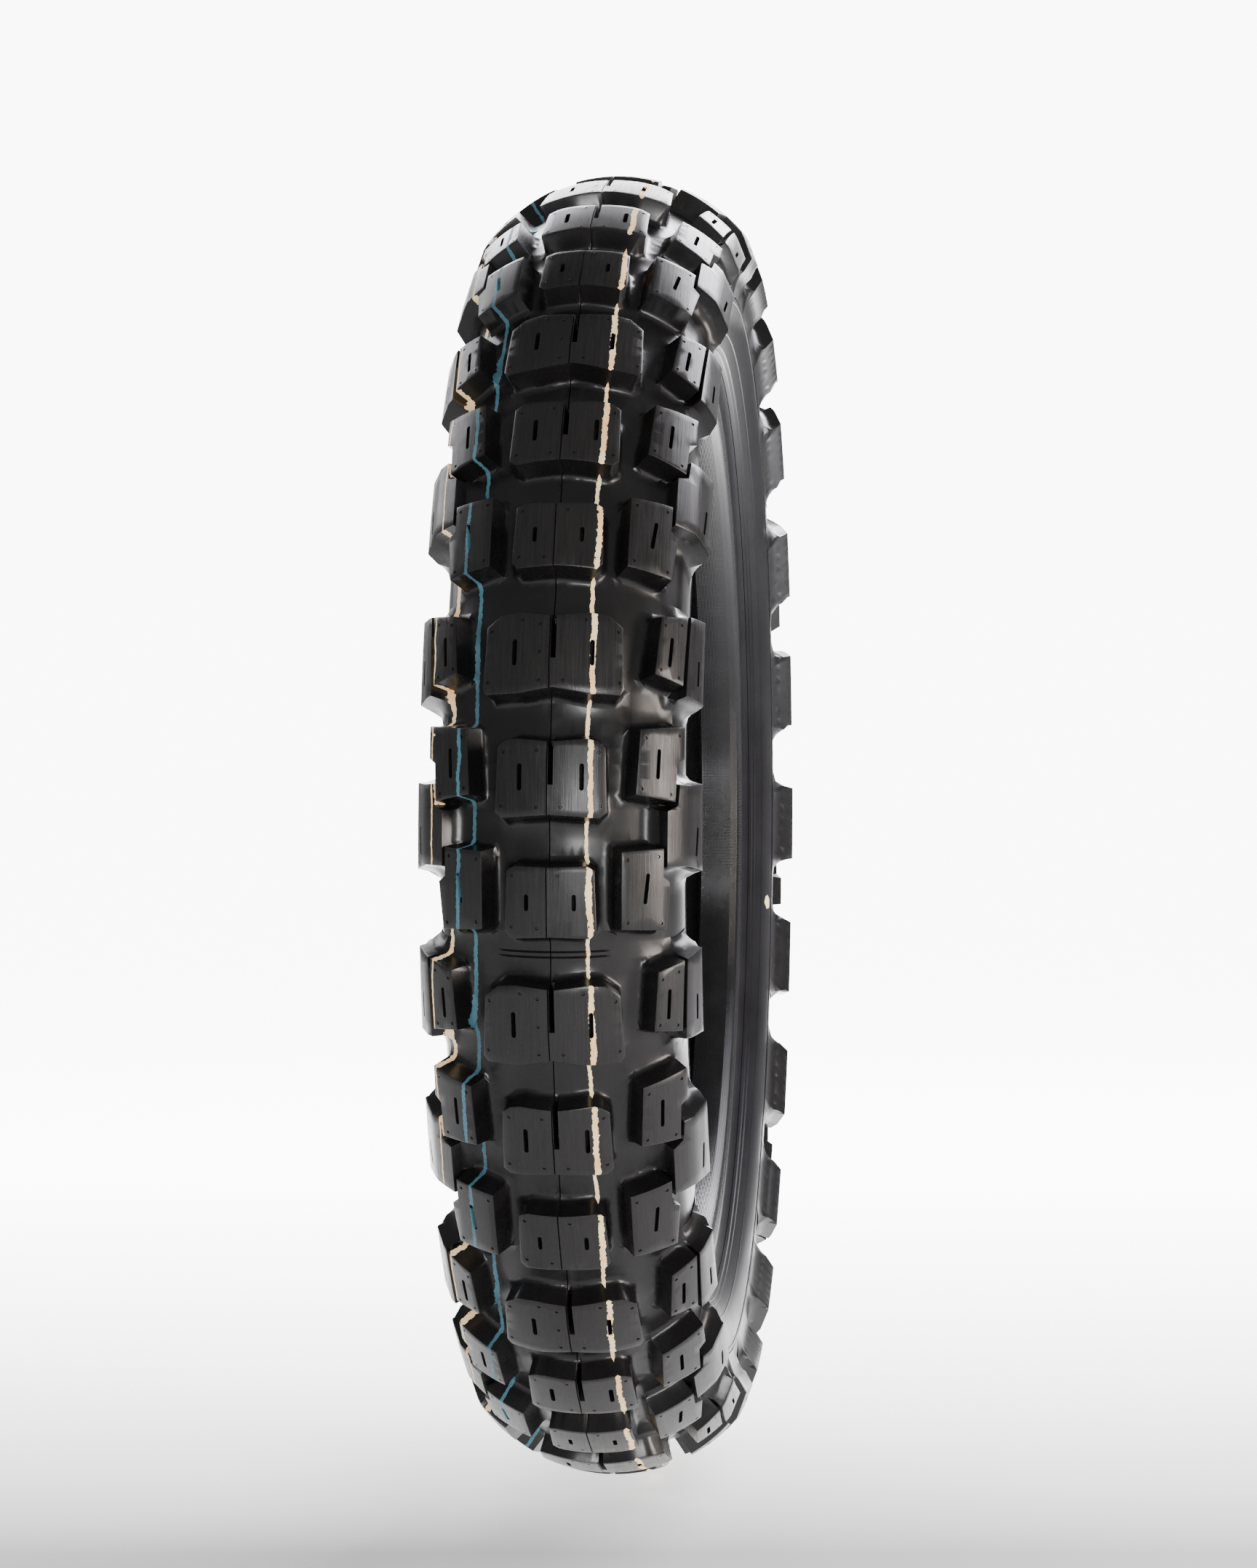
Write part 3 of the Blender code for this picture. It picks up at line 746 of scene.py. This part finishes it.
def groove_floor(across):
    """The groove floor as arrays of a and r; it turns down the side to the ridge."""
    turn = np.minimum(across, SHOULDER_LINE) / CROWN_RADIUS
    slope = SHOULDER_LINE / CROWN_RADIUS
    start = crown_point(FLOOR_RADIUS, slope)
    reach = (RIDGE_HALF_WIDTH - start.x) / math.cos(slope)
    bend = (RIDGE_HALF_WIDTH, start.y - reach * math.sin(slope))
    share = np.clip((across - SHOULDER_LINE) / (TREAD_EDGE - SHOULDER_LINE), 0.0, 1.0)
    ends = ((start.x, bend[0], RIDGE_HALF_WIDTH), (start.y, bend[1], RIDGE_RADIUS))
    side = [(1 - share) ** 2 * first + 2 * share * (1 - share) * middle + share ** 2 * last
            for first, middle, last in ends]
    on_crown = across <= SHOULDER_LINE
    a = np.where(on_crown, FLOOR_RADIUS * np.sin(turn), side[0])
    r = np.where(on_crown, CROWN_CENTRE + FLOOR_RADIUS * np.cos(turn), side[1])
    return a, r


def tread_inner_profile():
    """Underside of the tread cap, from the left ridge to the right ridge."""
    crown = cut_path(offset_path(ply_path(), -UNDER_TREAD), 0, ARC_END)
    flank = smooth_curve([crown[-1]] + vectors(TREAD_FLANK), PATH_STEPS)
    right = crown + flank[1:] + [Vector((RIDGE_HALF_WIDTH, RIDGE_RADIUS))]
    return [mirrored(point) for point in right[:0:-1]] + right


def add_tread(material):
    """Tread cap with its relief: one pitch, repeated round the wheel and welded."""
    points, faces, plain, in_slot = flat_pitch()
    ribs = rib_lift(points, plain)
    across = np.abs(points[:, 1])
    turn = np.radians(points[:, 0] / MM_PER_DEGREE)
    inner = np.array([tuple(point) for point in tread_inner_profile()])
    columns = PITCH_STEPS + 1
    rows = np.radians(SEAM_ANGLE + np.linspace(0.0, PITCH_ANGLE, columns))
    first, width = len(points), len(inner)
    hidden = width * columns
    for row in range(PITCH_STEPS):
        for index in range(width - 1):
            low = first + row * width + index
            faces.append((low, low + 1, low + width + 1, low + width))
    top_a, top_r = knob_top(across)
    floor_a, floor_r = groove_floor(across)
    vertices, heights, all_faces = [], [], []
    for pitch in range(PITCHES):
        depth = plain - ribs if pitch in RIBBED_PITCHES else plain
        share = depth / KNOB_HEIGHT
        a = (top_a + (floor_a - top_a) * share) * np.sign(points[:, 1])
        r = top_r + (floor_r - top_r) * share
        a = np.concatenate([a, np.tile(inner[:, 0], columns)])
        r = np.concatenate([r, np.tile(inner[:, 1], columns)])
        angle = np.concatenate([turn, np.repeat(rows, width)])
        angle += math.radians(PITCH_ANGLE * pitch)
        vertices.append(np.stack([r * np.cos(angle), a, r * np.sin(angle)], -1))
        heights.append(np.concatenate([1.0 - share, np.zeros(hidden)]))
        base = pitch * (first + hidden)
        all_faces += [tuple(base + index for index in face) for face in faces]
    unpainted = np.tile(np.copysign(OFF_TREAD, inner[:, 0]), columns)
    stored = (
        ("across", np.tile(np.concatenate([points[:, 1], unpainted]), PITCHES)),
        ("height", np.concatenate(heights)),
        ("slot", np.tile(np.concatenate([in_slot, np.zeros(hidden)]), PITCHES)),
    )
    add_piece(
        "tread_rubber_cap", np.concatenate(vertices) * MM, all_faces, material,
        "tread_cap", TREAD_SHARP_ANGLE, stored,
    )


# ---- layers

def sidewall_profile():
    """Sidewall rubber, from the rim line up to the ridge under the knobs."""
    path = ply_path()
    cover = offset_path(path, COVER)
    carcass = offset_path(path, -OVER_PLY)
    ridge = RIDGE_RADIUS - GAP
    face = vectors(SIDEWALL_FACE) + [Vector((RIDGE_HALF_WIDTH, ridge))]
    outer = ribbed(smooth_curve(face, FACE_STEPS))
    top = station(carcass, WIDEST - 1).lerp(station(carcass, WIDEST), SIDEWALL_TOP_SHARE)
    over_turn_up = cover[-1] + Vector((GAP / 3, GAP))
    turn_up = cut_path(cover, *SIDEWALL_TURN_UP)[::-1]
    inner = cut_path(carcass, WIDEST, LOWER)
    return outer + [Vector((top.x, ridge))] + inner + [over_turn_up] + turn_up


def ribbed(curve):
    """The sidewall face with its fine raised rings."""
    fine = []
    for start, end in zip(curve, curve[1:]):
        fine += [start.lerp(end, step / RIB_STEPS) for step in range(RIB_STEPS)]
    fine.append(curve[-1])
    raised = []
    for point in fine:
        lift = sum(height * max(0.0, 1.0 - ((point.y - level) / half) ** 2)
                   for level, half, height in SIDEWALL_RIBS)
        room = RIDGE_HALF_WIDTH + RIB_ROOM - point.x
        raised.append(point + Vector((min(lift, room), 0.0)))
    return raised


def rim_cushion_profile():
    """Abrasion strip with the flat face that the rim flange bears on."""
    cover = offset_path(ply_path(), COVER)
    foot = station(cover, HEEL).lerp(station(cover, OUTSIDE), CUSHION_FOOT_SHARE)
    head = station(cover, OUTSIDE).lerp(station(cover, TURN_LOW), CUSHION_HEAD_SHARE)
    back = cut_path(cover, *CUSHION_BACK)[::-1]
    return [foot] + vectors(FLANGE_FACE) + [head] + back


def chafer_profile():
    """Bead cover: inside edge, toe, tapered bead seat and rounded heel."""
    path = ply_path()
    inner = cut_path(offset_path(path, COVER), CHAFER_START, HEEL)
    top = station(offset_path(path, COVER + LINER), CHAFER_START)
    heel = smooth_curve(vectors(BEAD_FACE[:3]), HEEL_STEPS)
    return inner + heel + vectors(BEAD_FACE[3:]) + [top]


def wedge_profile():
    """Soft wedge that carries the breaker edges at the shoulder."""
    path = ply_path()
    below = cut_path(offset_path(path, -OVER_PLY), WEDGE_START, WEDGE_END)
    above = cut_path(offset_path(path, -(UNDER_TREAD - GAP - PLY)), WEDGE_START, ARC_END)
    return below + vectors(WEDGE_FLANK)[::-1] + above[::-1]


def filler_profile():
    """Apex that tapers from the bead bundle up between ply and turn-up."""
    path = ply_path()
    wrapped = offset_path(path, -(PLY / 2 + 2 * GAP + BEAD_WRAP))
    base = [Vector((point[0], point[1] + GAP)) for point in BEAD_BUNDLE[3:5]]
    bare = offset_path(path, -(OVER_PLY + FILLER_CLEARANCE))
    up, out = FILLER_TIP_SHARES
    tip = station(path, TIP).lerp(station(path, LOWER), up).lerp(path[-1], out)
    inboard = [station(wrapped, INSIDE_TOP), station(wrapped, MID), station(bare, TIP)]
    outboard = [station(bare, TURN_MID), station(wrapped, TURN_LOW), station(wrapped, OUTSIDE)]
    return base + inboard + [tip] + outboard


def crown_layer(place, end):
    """One layer over the body plies, at a place counted outwards from 0."""
    near = -OVER_PLY - place * (PLY + GAP)
    return full_ribbon(near, near - PLY, end)


def add_layers(looks):
    """Every ring of the tyre: outside rubber, carcass, crown layers and beads."""
    half = PLY / 2
    wrap = side_ribbon(-OVER_PLY, -OVER_PLY - BEAD_WRAP, WRAP_START, WRAP_END)
    layers = (
        (add_ring_pair, "sidewall_rubber", sidewall_profile(), "sidewall", "sidewall_rubber"),
        (add_ring_pair, "rim_strip", rim_cushion_profile(), "rim_cushion", "sidewall_rubber"),
        (add_ring_pair, "bead_cover", chafer_profile(), "chafer", "chafer_rubber"),
        (add_ring, "liner_skin", full_ribbon(COVER, COVER + LINER, INSIDE_TOP),
         "inner_liner", "liner_rubber"),
        (add_ring, "outer_ply", full_ribbon(-half, half, TURN_END), "body_ply_outer", "ply_cord"),
        (add_ring, "inner_ply", full_ribbon(half + GAP, half + GAP + PLY, TURN_END),
         "body_ply_inner", "ply_cord"),
        (add_ring, "breaker_inner", crown_layer(0, INNER_BREAKER_END),
         "breaker_ply_inner", "ply_cord"),
        (add_ring, "breaker_outer", crown_layer(1, OUTER_BREAKER_END),
         "breaker_ply_outer", "ply_cord"),
        (add_ring, "tread_base", crown_layer(2, ARC_END), "undertread", "sidewall_rubber"),
        (add_ring_pair, "wedge", wedge_profile(), "shoulder_wedge", "sidewall_rubber"),
        (add_ring_pair, "apex", filler_profile(), "bead_filler", "sidewall_rubber"),
        (add_ring_pair, "wire_hoop", vectors(BEAD_BUNDLE), "bead_bundle", "bead_wire"),
        (add_ring_pair, "hoop_wrap", wrap, "bead_wrap", "ply_cord"),
    )
    for add, name, profile, node, slot in layers:
        add(name, profile, looks[slot], node, slot)


# ---- materials

class Nodes:
    """Short way to build the node tree of a material or the world."""

    def __init__(self, owner, coordinates):
        owner.use_nodes = True
        self.tree = owner.node_tree
        self.place = self.add("ShaderNodeTexCoord").outputs[coordinates]

    def feed(self, socket, value):
        """Join a socket to another socket, or give it a plain value."""
        if isinstance(value, bpy.types.NodeSocket):
            self.tree.links.new(value, socket)
        else:
            socket.default_value = value

    def add(self, kind, values=None, **settings):
        """A new node with its settings and the values of its inputs."""
        node = self.tree.nodes.new(kind)
        for key, setting in settings.items():
            setattr(node, key, setting)
        for key, value in (values or {}).items():
            self.feed(node.inputs[key], value)
        return node

    def sums(self, operation, *values):
        """A math node on sockets or plain numbers."""
        numbered = dict(enumerate(values))
        return self.add("ShaderNodeMath", numbered, operation=operation).outputs[0]

    def times(self, first, second):
        return self.sums("MULTIPLY", first, second)

    def ramp(self, source, start, end, low=0.0, high=1.0, kind="LINEAR"):
        """A ramp between two levels, flat beyond them."""
        values = {"Value": source, "From Min": start, "From Max": end, "To Min": low,
                  "To Max": high}
        return self.add("ShaderNodeMapRange", values, interpolation_type=kind).outputs[0]

    def measure(self, operation, vector):
        """One number from the place and a fixed vector."""
        values = {0: self.place, 1: vector}
        return self.add("ShaderNodeVectorMath", values, operation=operation).outputs["Value"]

    def stored(self, name):
        """A value that the mesh keeps on its points."""
        return self.add("ShaderNodeAttribute", attribute_name=name).outputs["Fac"]

    def axes(self):
        """The place's x, y and z, in metres."""
        return self.add("ShaderNodeSeparateXYZ", {0: self.place}).outputs

    def radius(self):
        """Distance from the wheel axis, in metres."""
        x, _, z = self.axes()
        squares = [self.times(side, side) for side in (x, z)]
        return self.sums("SQRT", self.sums("ADD", *squares))

    def turn(self):
        """Angle round the wheel axis."""
        x, _, z = self.axes()
        return self.sums("ARCTAN2", z, x)

    def noise(self, scale, detail=4.0, rough=0.55, place=None):
        values = {"Vector": place or self.place, "Scale": scale, "Detail": detail,
                  "Roughness": rough}
        return self.add("ShaderNodeTexNoise", values).outputs["Fac"]

    def spread(self, source, low, high):
        """Stretch the middle of a noise to a range of values."""
        return self.ramp(source, *NOISE_MIDDLE, low, high)

    def uneven(self, scale, low, high, detail=4.0):
        """A value that wanders between two levels."""
        return self.spread(self.noise(scale, detail), low, high)

    def mottled(self, scale, shades, detail=4.0):
        """A colour that wanders between two shades."""
        return self.blend(self.uneven(scale, 0.0, 1.0, detail), *shades)

    def blend(self, share, first, second):
        """Mix two colours, each a socket or plain RGB."""
        node = self.add("ShaderNodeMix", {"Factor": share}, data_type="RGBA")
        for name, value in (("A", first), ("B", second)):
            socket = next(s for s in node.inputs if s.name == name and s.type == "RGBA")
            self.feed(socket, (*value, 1.0) if isinstance(value, tuple) else value)
        return next(s for s in node.outputs if s.type == "RGBA")

    def bump(self, shape, height, under=None):
        """Fine relief of a height in millimetres, on top of the relief under it."""
        node = self.add("ShaderNodeBump", {"Distance": height * MM, "Height": shape})
        if under is not None:
            self.feed(node.inputs["Normal"], under)
        return node.outputs["Normal"]


class Surface(Nodes):
    """Node tree of one material, with its shader."""

    def __init__(self, name, roughness, metallic=0.0, specular=0.5):
        self.material = bpy.data.materials.new(name)
        super().__init__(self.material, "Object")
        self.shader = self.tree.nodes["Principled BSDF"]
        self.dress({"Roughness": roughness, "Metallic": metallic,
                    "Specular IOR Level": specular})

    def dress(self, values):
        """Give the shader's own sockets their values, and return the material."""
        for name, value in values.items():
            self.feed(self.shader.inputs[name], value)
        return self.material

    def finish(self, colour, roughness, normal):
        return self.dress({"Base Color": colour, "Roughness": roughness, "Normal": normal})


def streaks(nodes, across):
    """Noise drawn out along the tread."""
    x, _, z = nodes.axes()
    drawn = nodes.add("ShaderNodeCombineXYZ", {
        0: nodes.times(across, STREAK_ACROSS),
        1: nodes.times(x, STREAK_ROUND),
        2: nodes.times(z, STREAK_ROUND),
    })
    return nodes.noise(1.6, detail=5.0, rough=0.5, place=drawn.outputs[0])


def add_paint(nodes, colour, across, on_top, on_floor, in_slot):
    """Painted lines over a colour: returns the colour, the paint's glow and its mask."""
    shifted = nodes.sums("ADD", across, nodes.uneven(48.0, -0.8, 0.8, detail=2.0))
    frayed = nodes.uneven(520.0, 0.62, 1.3, detail=3.0)
    patches = nodes.ramp(nodes.uneven(60.0, -0.6, 1.1, detail=3.0), 0.0, 1.0)
    share = nodes.times(patches, SECOND_SHADE_SHARE)
    out_of_slot = nodes.sums("SUBTRACT", 1.0, in_slot)
    glow, painted = (0.0, 0.0, 0.0), 0.0
    for place, (floor, wall, top), paint, second in PAINTED_LINES:
        off = nodes.sums("ABSOLUTE", nodes.sums("SUBTRACT", shifted, place))
        half = nodes.sums("MULTIPLY_ADD", on_top, top - wall, wall)
        half = nodes.sums("MULTIPLY_ADD", on_floor, floor - wall, half)
        half = nodes.times(half, frayed)
        mask = nodes.times(nodes.sums("LESS_THAN", off, half), out_of_slot)
        shade = nodes.blend(share, paint, second)
        colour = nodes.blend(mask, colour, shade)
        glow = nodes.blend(mask, glow, shade)
        painted = nodes.sums("MAXIMUM", painted, mask)
    return colour, glow, painted


def tread_look():
    """Black rubber, satin on the knob tops and glossier in the grooves, with paint."""
    nodes = Surface("tread_rubber", 0.45)
    across, height, in_slot = (nodes.stored(name) for name in ("across", "height", "slot"))
    on_top = nodes.ramp(height, *TOP_BAND)
    on_floor = nodes.ramp(height, *FLOOR_BAND)
    on_side = nodes.ramp(nodes.sums("ABSOLUTE", across), *SIDE_BAND)
    drawn = streaks(nodes, across)
    rubber = nodes.mottled(38.0, TREAD_SHADES, detail=5.0)
    bloom = nodes.times(on_top, nodes.spread(drawn, 0.1, 0.9))
    rubber = nodes.blend(bloom, rubber, TREAD_BLOOM)
    colour, glow, painted = add_paint(nodes, rubber, across, on_top, on_floor, in_slot)
    nodes.dress({"Emission Color": glow, "Emission Strength": PAINT_GLOW})
    rough = nodes.uneven(90.0, *TREAD_ROUGHNESS)
    for share, extra in zip((on_top, on_side, on_floor, in_slot, painted), ROUGHER):
        rough = nodes.sums("MULTIPLY_ADD", share, extra, rough)
    worn = nodes.times(on_top, nodes.spread(drawn, -TOP_WEAR, TOP_WEAR))
    grain = nodes.bump(nodes.noise(1700.0, detail=2.0), 0.008)
    flow = nodes.bump(nodes.noise(90.0, detail=1.0), 0.05, under=grain)
    scuffs = nodes.bump(nodes.times(drawn, on_top), 0.06, under=flow)
    return nodes.finish(colour, nodes.sums("ADD", rough, worn), scuffs)


def balance_dot(nodes):
    """Mask of the round paint mark on the right sidewall."""
    angle = math.radians(BALANCE_DOT_ANGLE)
    a, r = BALANCE_DOT_PLACE
    centre = Vector((r * math.cos(angle), a, r * math.sin(angle))) * MM
    size = BALANCE_DOT_SIZE * MM
    edge = nodes.uneven(300.0, 0.8 * size, 1.25 * size, detail=3.0)
    return nodes.sums("LESS_THAN", nodes.measure("DISTANCE", centre), edge)


def sidewall_look():
    """Smooth moulded rubber with the fine turning marks of the mould."""
    nodes = Surface("sidewall_rubber", 0.42, specular=0.12)
    dot = balance_dot(nodes)
    colour = nodes.blend(dot, nodes.mottled(30.0, SIDEWALL_SHADES), CREAM)
    rough = nodes.uneven(30.0, 0.33, 0.40, detail=2.0)
    rough = nodes.sums("MULTIPLY_ADD", dot, 0.25, rough)
    rings = nodes.sums("SINE", nodes.times(nodes.radius(), TURNING_MARKS))
    turned = nodes.bump(rings, 0.003)
    return nodes.finish(colour, rough, nodes.bump(nodes.noise(40.0, 1.0), 0.06, under=turned))


def chafer_look():
    """Rubber with the imprint of a woven chafer fabric, laid on the bias."""
    nodes = Surface("chafer_rubber", 0.5, specular=0.35)
    along_axis = nodes.axes()[1]
    around = nodes.times(nodes.turn(), WEAVE_RADIUS * WEAVE)
    over = nodes.times(nodes.sums("ADD", along_axis, nodes.radius()), WEAVE)
    threads = [nodes.sums("SINE", nodes.sums(way, around, over)) for way in ("ADD", "SUBTRACT")]
    cloth = nodes.bump(nodes.times(*threads), 0.04)
    colour = nodes.mottled(60.0, CHAFER_SHADES)
    rough = nodes.uneven(30.0, 0.15, 0.19, detail=2.0)
    return nodes.finish(colour, rough, nodes.bump(nodes.noise(40.0, 1.0), 0.06, under=cloth))


def bias_cords(nodes, counts):
    """Waves of cords on the bias, from -1 to 1."""
    around, along = counts
    turned = nodes.times(nodes.turn(), CORD_RADIUS * around)
    moved = nodes.times(nodes.axes()[1], along)
    return nodes.sums("SINE", nodes.sums("ADD", turned, moved))


def liner_look():
    """Matt butyl with the faint cord lines that show through it."""
    nodes = Surface("liner_rubber", 0.6)
    shown = nodes.bump(bias_cords(nodes, LINER_CORDS), 0.08)
    colour = nodes.mottled(25.0, LINER_SHADES)
    rough = nodes.uneven(80.0, 0.5, 0.66)
    return nodes.finish(colour, rough, nodes.bump(nodes.noise(900.0), 0.08, under=shown))


def cord_look():
    """Rubber-coated nylon cords on the bias."""
    nodes = Surface("ply_cord", 0.7)
    cords = bias_cords(nodes, PLY_CORDS)
    share = nodes.sums("MULTIPLY_ADD", cords, 0.5, 0.5)
    colour = nodes.blend(share, *CORD_SHADES)
    return nodes.finish(colour, nodes.uneven(200.0, 0.6, 0.8), nodes.bump(cords, 0.2))


def wire_look():
    """Bronze-coated steel wires, laid side by side round the hoop."""
    nodes = Surface("bead_wire", 0.35, metallic=1.0)
    places = (nodes.radius(), nodes.axes()[1])
    turns = nodes.sums("ADD", *(nodes.times(place, WIRES) for place in places))
    wires = nodes.bump(nodes.sums("SINE", turns), 0.2)
    colour = nodes.mottled(150.0, WIRE_SHADES)
    return nodes.finish(colour, nodes.uneven(300.0, 0.28, 0.42), wires)


# ---- studio

def floor_look():
    """Pale floor with a light table let into it behind the tyre."""
    nodes = Surface("pale_floor", 0.9, specular=0.0)
    sideways = Vector((-BACKDROP_HEADING.y, BACKDROP_HEADING.x, 0.0))
    behind = nodes.measure("DOT_PRODUCT", BACKDROP_HEADING)
    beside = nodes.sums("ABSOLUTE", nodes.measure("DOT_PRODUCT", sideways))
    from_edge = nodes.sums("MULTIPLY_ADD", behind, -TABLE_WIDENING, beside)
    on_table = nodes.times(nodes.ramp(behind, TABLE_START, TABLE_FULL),
                          nodes.ramp(from_edge, TABLE_EDGE, TABLE_EDGE - TABLE_SOFT))
    glow = nodes.sums("MULTIPLY_ADD", on_table, TABLE_GLOW - TABLE_DIM, TABLE_DIM)
    return nodes.dress({"Base Color": nodes.mottled(3.0, FLOOR_SHADES),
                        "Emission Color": (*WHITE, 1.0), "Emission Strength": glow})


def add_floor():
    """Wide level floor under the tyre."""
    level = CAD_BOX[0][2] - FLOOR_GAP
    corners = [(x * FLOOR_SIZE, y * FLOOR_SIZE, level)
               for x, y in ((-1, -1), (1, -1), (1, 1), (-1, 1))]
    mesh = bpy.data.meshes.new("studio_floor")
    mesh.from_pydata(corners, [], [(0, 1, 2, 3)])
    mesh.materials.append(floor_look())
    floor = add_object("studio_floor", mesh)


def add_surroundings():
    """Bright backdrop behind the tyre that fades to a dim room in front of it."""
    world = bpy.data.worlds.new("studio_room")
    bpy.context.scene.world = world
    nodes = Nodes(world, "Generated")
    facing = nodes.measure("DOT_PRODUCT", BACKDROP_HEADING)
    total = 0.0
    for start, end, level in ROOM_STEPS:
        step = nodes.ramp(facing, start, end, high=level, kind="SMOOTHSTEP")
        total = nodes.sums("ADD", total, step)
    sky = nodes.tree.nodes["Background"]
    nodes.feed(sky.inputs["Color"], (*WHITE, 1.0))
    nodes.feed(sky.inputs["Strength"], total)


def look_along(heading):
    """Turn of a camera or light that faces a heading."""
    return heading.to_track_quat("-Z", "Y").to_euler()


def add_light(name, place, size, power, colour):
    """Soft rectangular light that faces the wheel centre."""
    light = bpy.data.lights.new(name, "AREA")
    light.shape = "RECTANGLE"
    light.size, light.size_y = size
    light.energy = power
    light.color = colour
    holder = add_object(name, light)
    holder.location = place
    holder.rotation_euler = look_along(-Vector(place))
    holder.visible_camera = False


def add_studio():
    """Light table, lit backdrop and soft boxes."""
    add_floor()
    add_surroundings()
    for soft_box in SOFT_BOXES:
        add_light(*soft_box)


def add_camera():
    """Camera at the photograph's viewing angle."""
    camera = bpy.data.cameras.new("photo_view")
    camera.sensor_width = CAMERA_SENSOR
    camera.lens = CAMERA_LENS
    holder = add_object("photo_view", camera)
    holder.location = CAMERA_PLACE
    holder.rotation_euler = look_along(CAMERA_HEADING)
    bpy.context.scene.camera = holder


add_camera()
add_tread(tread_look())
add_layers({
    "sidewall_rubber": sidewall_look(),
    "chafer_rubber": chafer_look(),
    "liner_rubber": liner_look(),
    "ply_cord": cord_look(),
    "bead_wire": wire_look(),
})
add_studio()
